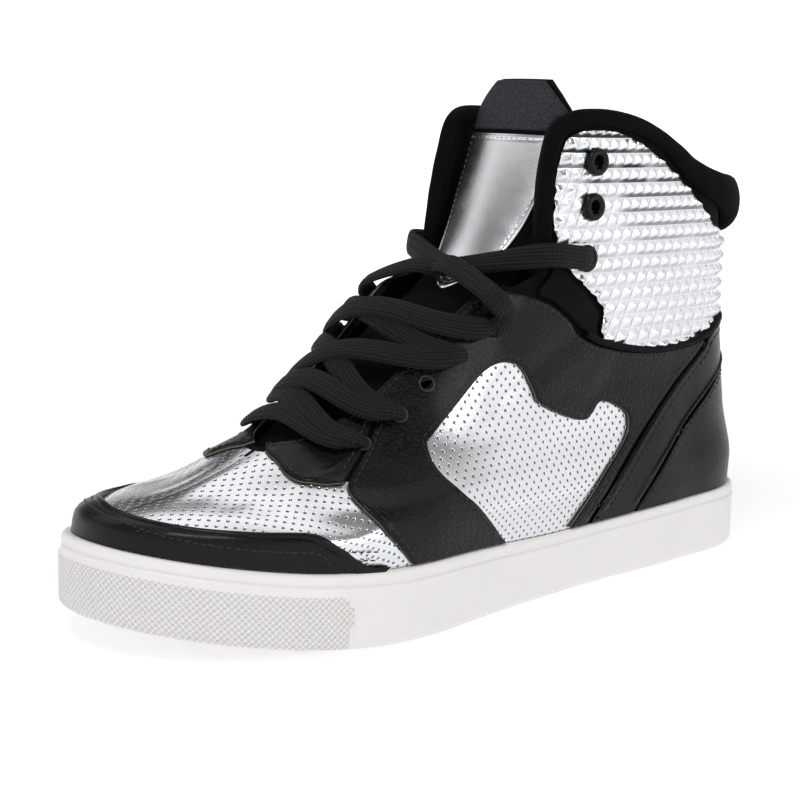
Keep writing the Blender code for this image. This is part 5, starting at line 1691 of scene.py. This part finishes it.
def make_stitching(thread, grey):
    """Rows of lockstitch along the leather's edges and the badge."""
    sheet = bmesh.new()
    for distance, rise in ((3.2, -0.28), (6.0, 0.05)):
        sew(sheet, TOE_CAP, distance, TOE_CAP_TOP + rise, low=0.02, pitch=2.6, length=2.1)
    strap_top = HEEL_STRAP[:[row[0] for row in HEEL_STRAP].index(0.0) + 1]
    for side in (1, -1):
        for rows, distance, rise in ((QUARTER, 1.9, 0.04), (THROAT_GUARD, 2.0, 0.04),
                                     (strap_top, 4.2, 0.06)):
            sew(sheet, side_rows(rows, side), distance, OVERLAY_TOP + rise)
    sew(sheet, both_sides(HEEL_COUNTER), 1.8, OVERLAY_TOP + 0.04)
    piece(sheet, "black_stitching", (thread,), "black_leather", merge=0, turn=False)
    sheet = bmesh.new()
    sew(sheet, BADGE, 1.9, PATCH_TOP - 0.1, "tongue", pitch=2.4, length=1.8, radius=0.24)
    piece(sheet, "badge_stitching", (grey,), "silver_leather", merge=0, turn=False)

# Where the camera stands: degrees round the shoe and above the floor, distance
# and target in metres, roll in degrees
CAMERA_AROUND = 47.037
CAMERA_ABOVE = 9.629
CAMERA_DISTANCE = 0.646576
CAMERA_TARGET = (0.123326, 0.0, 0.067804)
CAMERA_ROLL = 1.349
# Direction from the shoe to the dark flags behind it
BEHIND = (-0.70, -0.714, 0.0)


def make_camera(lens):
    """Camera at the photograph's angle to the shoe."""
    around = math.radians(CAMERA_AROUND)
    above = math.radians(CAMERA_ABOVE)
    roll = math.radians(CAMERA_ROLL)
    back = Vector((math.cos(above) * math.cos(around), math.cos(above) * math.sin(around),
                   math.sin(above)))
    right = (-back).cross(Vector((0, 0, 1))).normalized()
    up = right.cross(-back)
    turned_right = right * math.cos(roll) + up * math.sin(roll)
    turned_up = up * math.cos(roll) - right * math.sin(roll)
    data = bpy.data.cameras.new("product_camera")
    data.lens = lens
    data.sensor_width = 36.0
    data.clip_start = 0.01
    data.clip_end = 100.0
    camera = added("product_camera", data)
    matrix = Matrix((turned_right, turned_up, back)).transposed().to_4x4()
    matrix.translation = Vector(CAMERA_TARGET) + back * CAMERA_DISTANCE
    camera.matrix_world = matrix
    scene = bpy.context.scene
    scene.camera = camera
    scene.view_settings.view_transform = "Standard"
    scene.view_settings.gamma = 0.86


def make_light(name, place, target, size, power):
    """Square soft light that faces a target; sizes in metres."""
    data = bpy.data.lights.new(name, "AREA")
    data.shape = "RECTANGLE"
    data.size, data.size_y = size
    data.energy = power
    light = added(name, data)
    light.location = place
    aim = Vector(target) - Vector(place)
    light.rotation_euler = aim.to_track_quat("-Z", "Y").to_euler()


def make_room(strength):
    """White studio all round, with dark flags high behind the shoe."""
    world = bpy.data.worlds.new("white_studio")
    bpy.context.scene.world = world
    world.use_nodes = True
    tree = world.node_tree
    back = tree.nodes["Background"]
    place = add_node(tree, "ShaderNodeTexCoord").outputs["Generated"]
    height = add_node(tree, "ShaderNodeSeparateXYZ", {0: place}).outputs["Z"]
    band = add_node(tree, "ShaderNodeValToRGB", {"Fac": height})
    ramp = band.color_ramp
    stops = ((0.0, 1.1), (0.16, 1.1), (0.24, 0.02), (0.52, 0.01), (0.62, 1.15), (1.0, 1.3))
    for element, (position, value) in zip(ramp.elements, (stops[0], stops[-1])):
        element.position, element.color = position, (value, value, value, 1.0)
    for position, value in stops[1:-1]:
        ramp.elements.new(position).color = (value, value, value, 1.0)
    away = moved_by(tree, "DOT_PRODUCT", place, BEHIND)["Value"]
    behind = ranged(tree, away, 0.28, 0.52)
    beside = ranged(tree, away, 0.06, 0.28)
    near = ranged(tree, height, 0.32, 0.66, 1.05, 0.25)
    front = mixed(tree, beside, near, linear("#FFFFFF"))
    tree.links.new(mixed(tree, behind, front, band.outputs["Color"]), back.inputs["Color"])
    back.inputs["Strength"].default_value = strength


class SneakerLeather(bpy.types.PropertyGroup):
    """Leathers of the upper."""
    black: bpy.props.FloatVectorProperty(
        name="Black", description="Colour of the smooth and pebbled black leather",
        default=linear("#0A0A0C")[:3], subtype="COLOR")
    grain: bpy.props.FloatProperty(
        name="Grain", description="Width of one pebble of the tumbled leather, in millimetres",
        default=1.25, min=0.3, max=4.0)
    hole_pitch: bpy.props.FloatProperty(
        name="Hole pitch", description="Distance between punched holes, in millimetres",
        default=3.0, min=1.0, max=10.0)
    hole_size: bpy.props.FloatProperty(
        name="Hole size", description="Diameter of a punched hole, in millimetres",
        default=0.75, min=0.2, max=3.0)


class SneakerCollar(bpy.types.PropertyGroup):
    """Collar panels and their binding."""
    stud_pitch: bpy.props.FloatProperty(
        name="Stud pitch", description="Width of one pressed stud, in millimetres",
        default=5.4, min=3.0, max=12.0)
    stud_rise: bpy.props.FloatProperty(
        name="Stud height", description="Height of a stud over its grooves, in millimetres",
        default=1.5, min=0.2, max=3.0)


class SneakerSole(bpy.types.PropertyGroup):
    """Rubber of the sole."""
    dot_pitch: bpy.props.FloatProperty(
        name="Grip pitch", description="Width of one diamond of the toe guard, in millimetres",
        default=1.5, min=0.5, max=5.0)


class SneakerLace(bpy.types.PropertyGroup):
    """Flat lace."""
    width: bpy.props.FloatProperty(
        name="Width", description="Width of the flat lace, in millimetres",
        default=8.6, min=3.0, max=15.0)
    thickness: bpy.props.FloatProperty(
        name="Thickness", description="Thickness of the flat lace, in millimetres",
        default=2.5, min=0.5, max=4.0)
    strand: bpy.props.FloatProperty(
        name="Strand", description="Width of a column of the braid, in millimetres",
        default=1.3, min=0.3, max=4.0)


class SneakerStudio(bpy.types.PropertyGroup):
    """Camera and studio light."""
    lens: bpy.props.FloatProperty(
        name="Lens", description="Focal length of the camera",
        default=81.2125, min=20.0, max=300.0, unit="CAMERA")
    strength: bpy.props.FloatProperty(
        name="Room light", description="Brightness of the white studio",
        default=1.0, min=0.0, max=5.0)
    key: bpy.props.FloatProperty(
        name="Key light", description="Power of the large soft light",
        default=7.0, min=0.0, max=200.0, unit="POWER")


class SNEAKER_OT_sole(bpy.types.Operator):
    """Makes the cup sole and the insole"""
    bl_idname = "sneaker.sole"
    bl_label = "Sole and insole"

    def execute(self, context):
        pitch = context.scene.sneaker_sole.dot_pitch
        make_sole(white_rubber("moulded_white_rubber", "#E9E7E6"),
                  white_rubber("diamond_grip_rubber", "#E9E7E6", dots=pitch),
                  white_rubber("tread_rubber", "#E4E0DB", tread=True))
        make_insole(textile("insole_jersey", "#1C1C1F", "#2B2B2F", 0.7, 0.12))
        return {"FINISHED"}


class SNEAKER_OT_upper(bpy.types.Operator):
    """Makes the lined upper and the leather laid on it"""
    bl_idname = "sneaker.upper"
    bl_label = "Upper and overlays"

    def execute(self, context):
        sizes = context.scene.sneaker_leather
        edge = cut_edge("cut_leather_edge", "#8C867E")
        make_upper(silver_leather("punched_silver_leather", sizes.hole_pitch, sizes.hole_size),
                   textile("black_facing", "#0D0D0F", "#151518", 0.6, 0.10, 0.8),
                   textile("brushed_lining", "#131316", "#1D1D21", 0.8, 0.12))
        black = (*sizes.black, 1.0)
        smooth = black_leather("smooth_black_leather", black, sizes.grain * 0.6, 0.09, 0.34, 0.30)
        pebbled = black_leather("pebbled_black_leather", black, sizes.grain, 0.42, 0.34, 0.30)
        make_overlays(smooth, pebbled, edge,
                      textile("gusset_nylon", "#0C0C0E", "#141417", 0.6, 0.10, 0.7))
        return {"FINISHED"}


class SNEAKER_OT_collar(bpy.types.Operator):
    """Makes the studded collar panels, the padded roll, its piping and pull strip"""
    bl_idname = "sneaker.collar"
    bl_label = "Collar"

    def execute(self, context):
        sizes = context.scene.sneaker_collar
        jersey = textile("collar_jersey", "#0A0A0C", "#131316", 0.75, 0.18)
        make_collar_panels(silver_foil("pressed_silver_foil"), jersey, sizes.stud_pitch,
                           sizes.stud_rise)
        make_binding(jersey)
        make_piping(textile("piping_nylon", "#0F0F11", "#1A1A1D", 0.5, 0.08, 0.6))
        make_pull_strip(braided_lace("pull_webbing", "#19191C", 1.1))
        return {"FINISHED"}


class SNEAKER_OT_tongue(bpy.types.Operator):
    """Makes the padded tongue, its bare badge and its tip"""
    bl_idname = "sneaker.tongue"
    bl_label = "Tongue"

    def execute(self, context):
        make_tongue(textile("tongue_suede", "#0C0C0E", "#151518", 0.5, 0.06, 0.85, 0.15),
                    mottled_lining("mottled_lining"),
                    silver_leather("plain_silver_leather", 3.0, 1.0, holed=False),
                    black_leather("matt_grained_tip", linear("#3E4043"), 0.7, 0.16, 0.62, 0.0))
        return {"FINISHED"}


class SNEAKER_OT_laces(bpy.types.Operator):
    """Makes the laces and the eyelets that they run through"""
    bl_idname = "sneaker.laces"
    bl_label = "Laces and eyelets"

    def execute(self, context):
        sizes = context.scene.sneaker_lace
        make_eyelets(black_brass("lacquered_brass"), sewing_thread("ring_thread", "#3A3836"))
        make_laces(braided_lace("braided_polyester", "#2C2C30", sizes.strand), sizes.width,
                   sizes.thickness)
        return {"FINISHED"}


class SNEAKER_OT_stitching(bpy.types.Operator):
    """Sews the rows of stitches"""
    bl_idname = "sneaker.stitching"
    bl_label = "Stitching"

    def execute(self, context):
        make_stitching(sewing_thread("black_thread", "#2A2A2D"),
                       sewing_thread("grey_thread", "#A9ACAF"))
        return {"FINISHED"}


class SNEAKER_OT_stage(bpy.types.Operator):
    """Sets up the floor, the lights and the camera"""
    bl_idname = "sneaker.stage"
    bl_label = "Studio"

    def execute(self, context):
        look = context.scene.sneaker_studio
        make_camera(look.lens)
        sheet = bmesh.new()
        bmesh.ops.create_grid(sheet, x_segments=4, y_segments=4, size=20.0)
        mesh = bpy.data.meshes.new("studio_floor")
        sheet.to_mesh(mesh)
        sheet.free()
        mesh.materials.append(studio_floor("studio_paper", "#AEAEAE"))
        added("studio_floor", mesh)
        make_room(look.strength)
        make_light("key_light", (0.75, 0.35, 1.25), (0.1, 0.0, 0.05), (0.5, 0.5), look.key)
        make_light("side_light", (-0.35, 1.4, 0.75), (0.1, 0.0, 0.08), (0.5, 0.5), look.key * 0.35)
        return {"FINISHED"}


OPERATORS = (SNEAKER_OT_stage, SNEAKER_OT_sole, SNEAKER_OT_upper, SNEAKER_OT_collar,
             SNEAKER_OT_tongue, SNEAKER_OT_laces, SNEAKER_OT_stitching)
SETTINGS = (("sneaker_sole", SneakerSole), ("sneaker_leather", SneakerLeather),
            ("sneaker_collar", SneakerCollar), ("sneaker_lace", SneakerLace),
            ("sneaker_studio", SneakerStudio))


class SNEAKER_PT_pieces(bpy.types.Panel):
    """Lists the pieces of the shoe and their sizes"""
    bl_idname = "SNEAKER_PT_pieces"
    bl_label = "High-top sneaker"
    bl_space_type = "VIEW_3D"
    bl_region_type = "UI"
    bl_category = "Sneaker"

    def draw(self, context):
        for name, group in SETTINGS:
            for setting in group.__annotations__:
                self.layout.prop(getattr(context.scene, name), setting)
        for operator in OPERATORS:
            self.layout.operator(operator.bl_idname)


def register():
    """Registers the settings, the operators and the panel."""
    for name, group in SETTINGS:
        bpy.utils.register_class(group)
        setattr(bpy.types.Scene, name, bpy.props.PointerProperty(type=group))
    for kind in (*OPERATORS, SNEAKER_PT_pieces):
        bpy.utils.register_class(kind)


def unregister():
    """Removes what register added."""
    for kind in reversed((*OPERATORS, SNEAKER_PT_pieces)):
        bpy.utils.unregister_class(kind)
    for name, group in SETTINGS:
        delattr(bpy.types.Scene, name)
        bpy.utils.unregister_class(group)


def main():
    """Makes the stage and every piece."""
    register()
    bpy.ops.sneaker.stage()
    bpy.ops.sneaker.sole()
    bpy.ops.sneaker.upper()
    bpy.ops.sneaker.collar()
    bpy.ops.sneaker.tongue()
    bpy.ops.sneaker.laces()
    bpy.ops.sneaker.stitching()


if __name__ == "__main__":
    main()
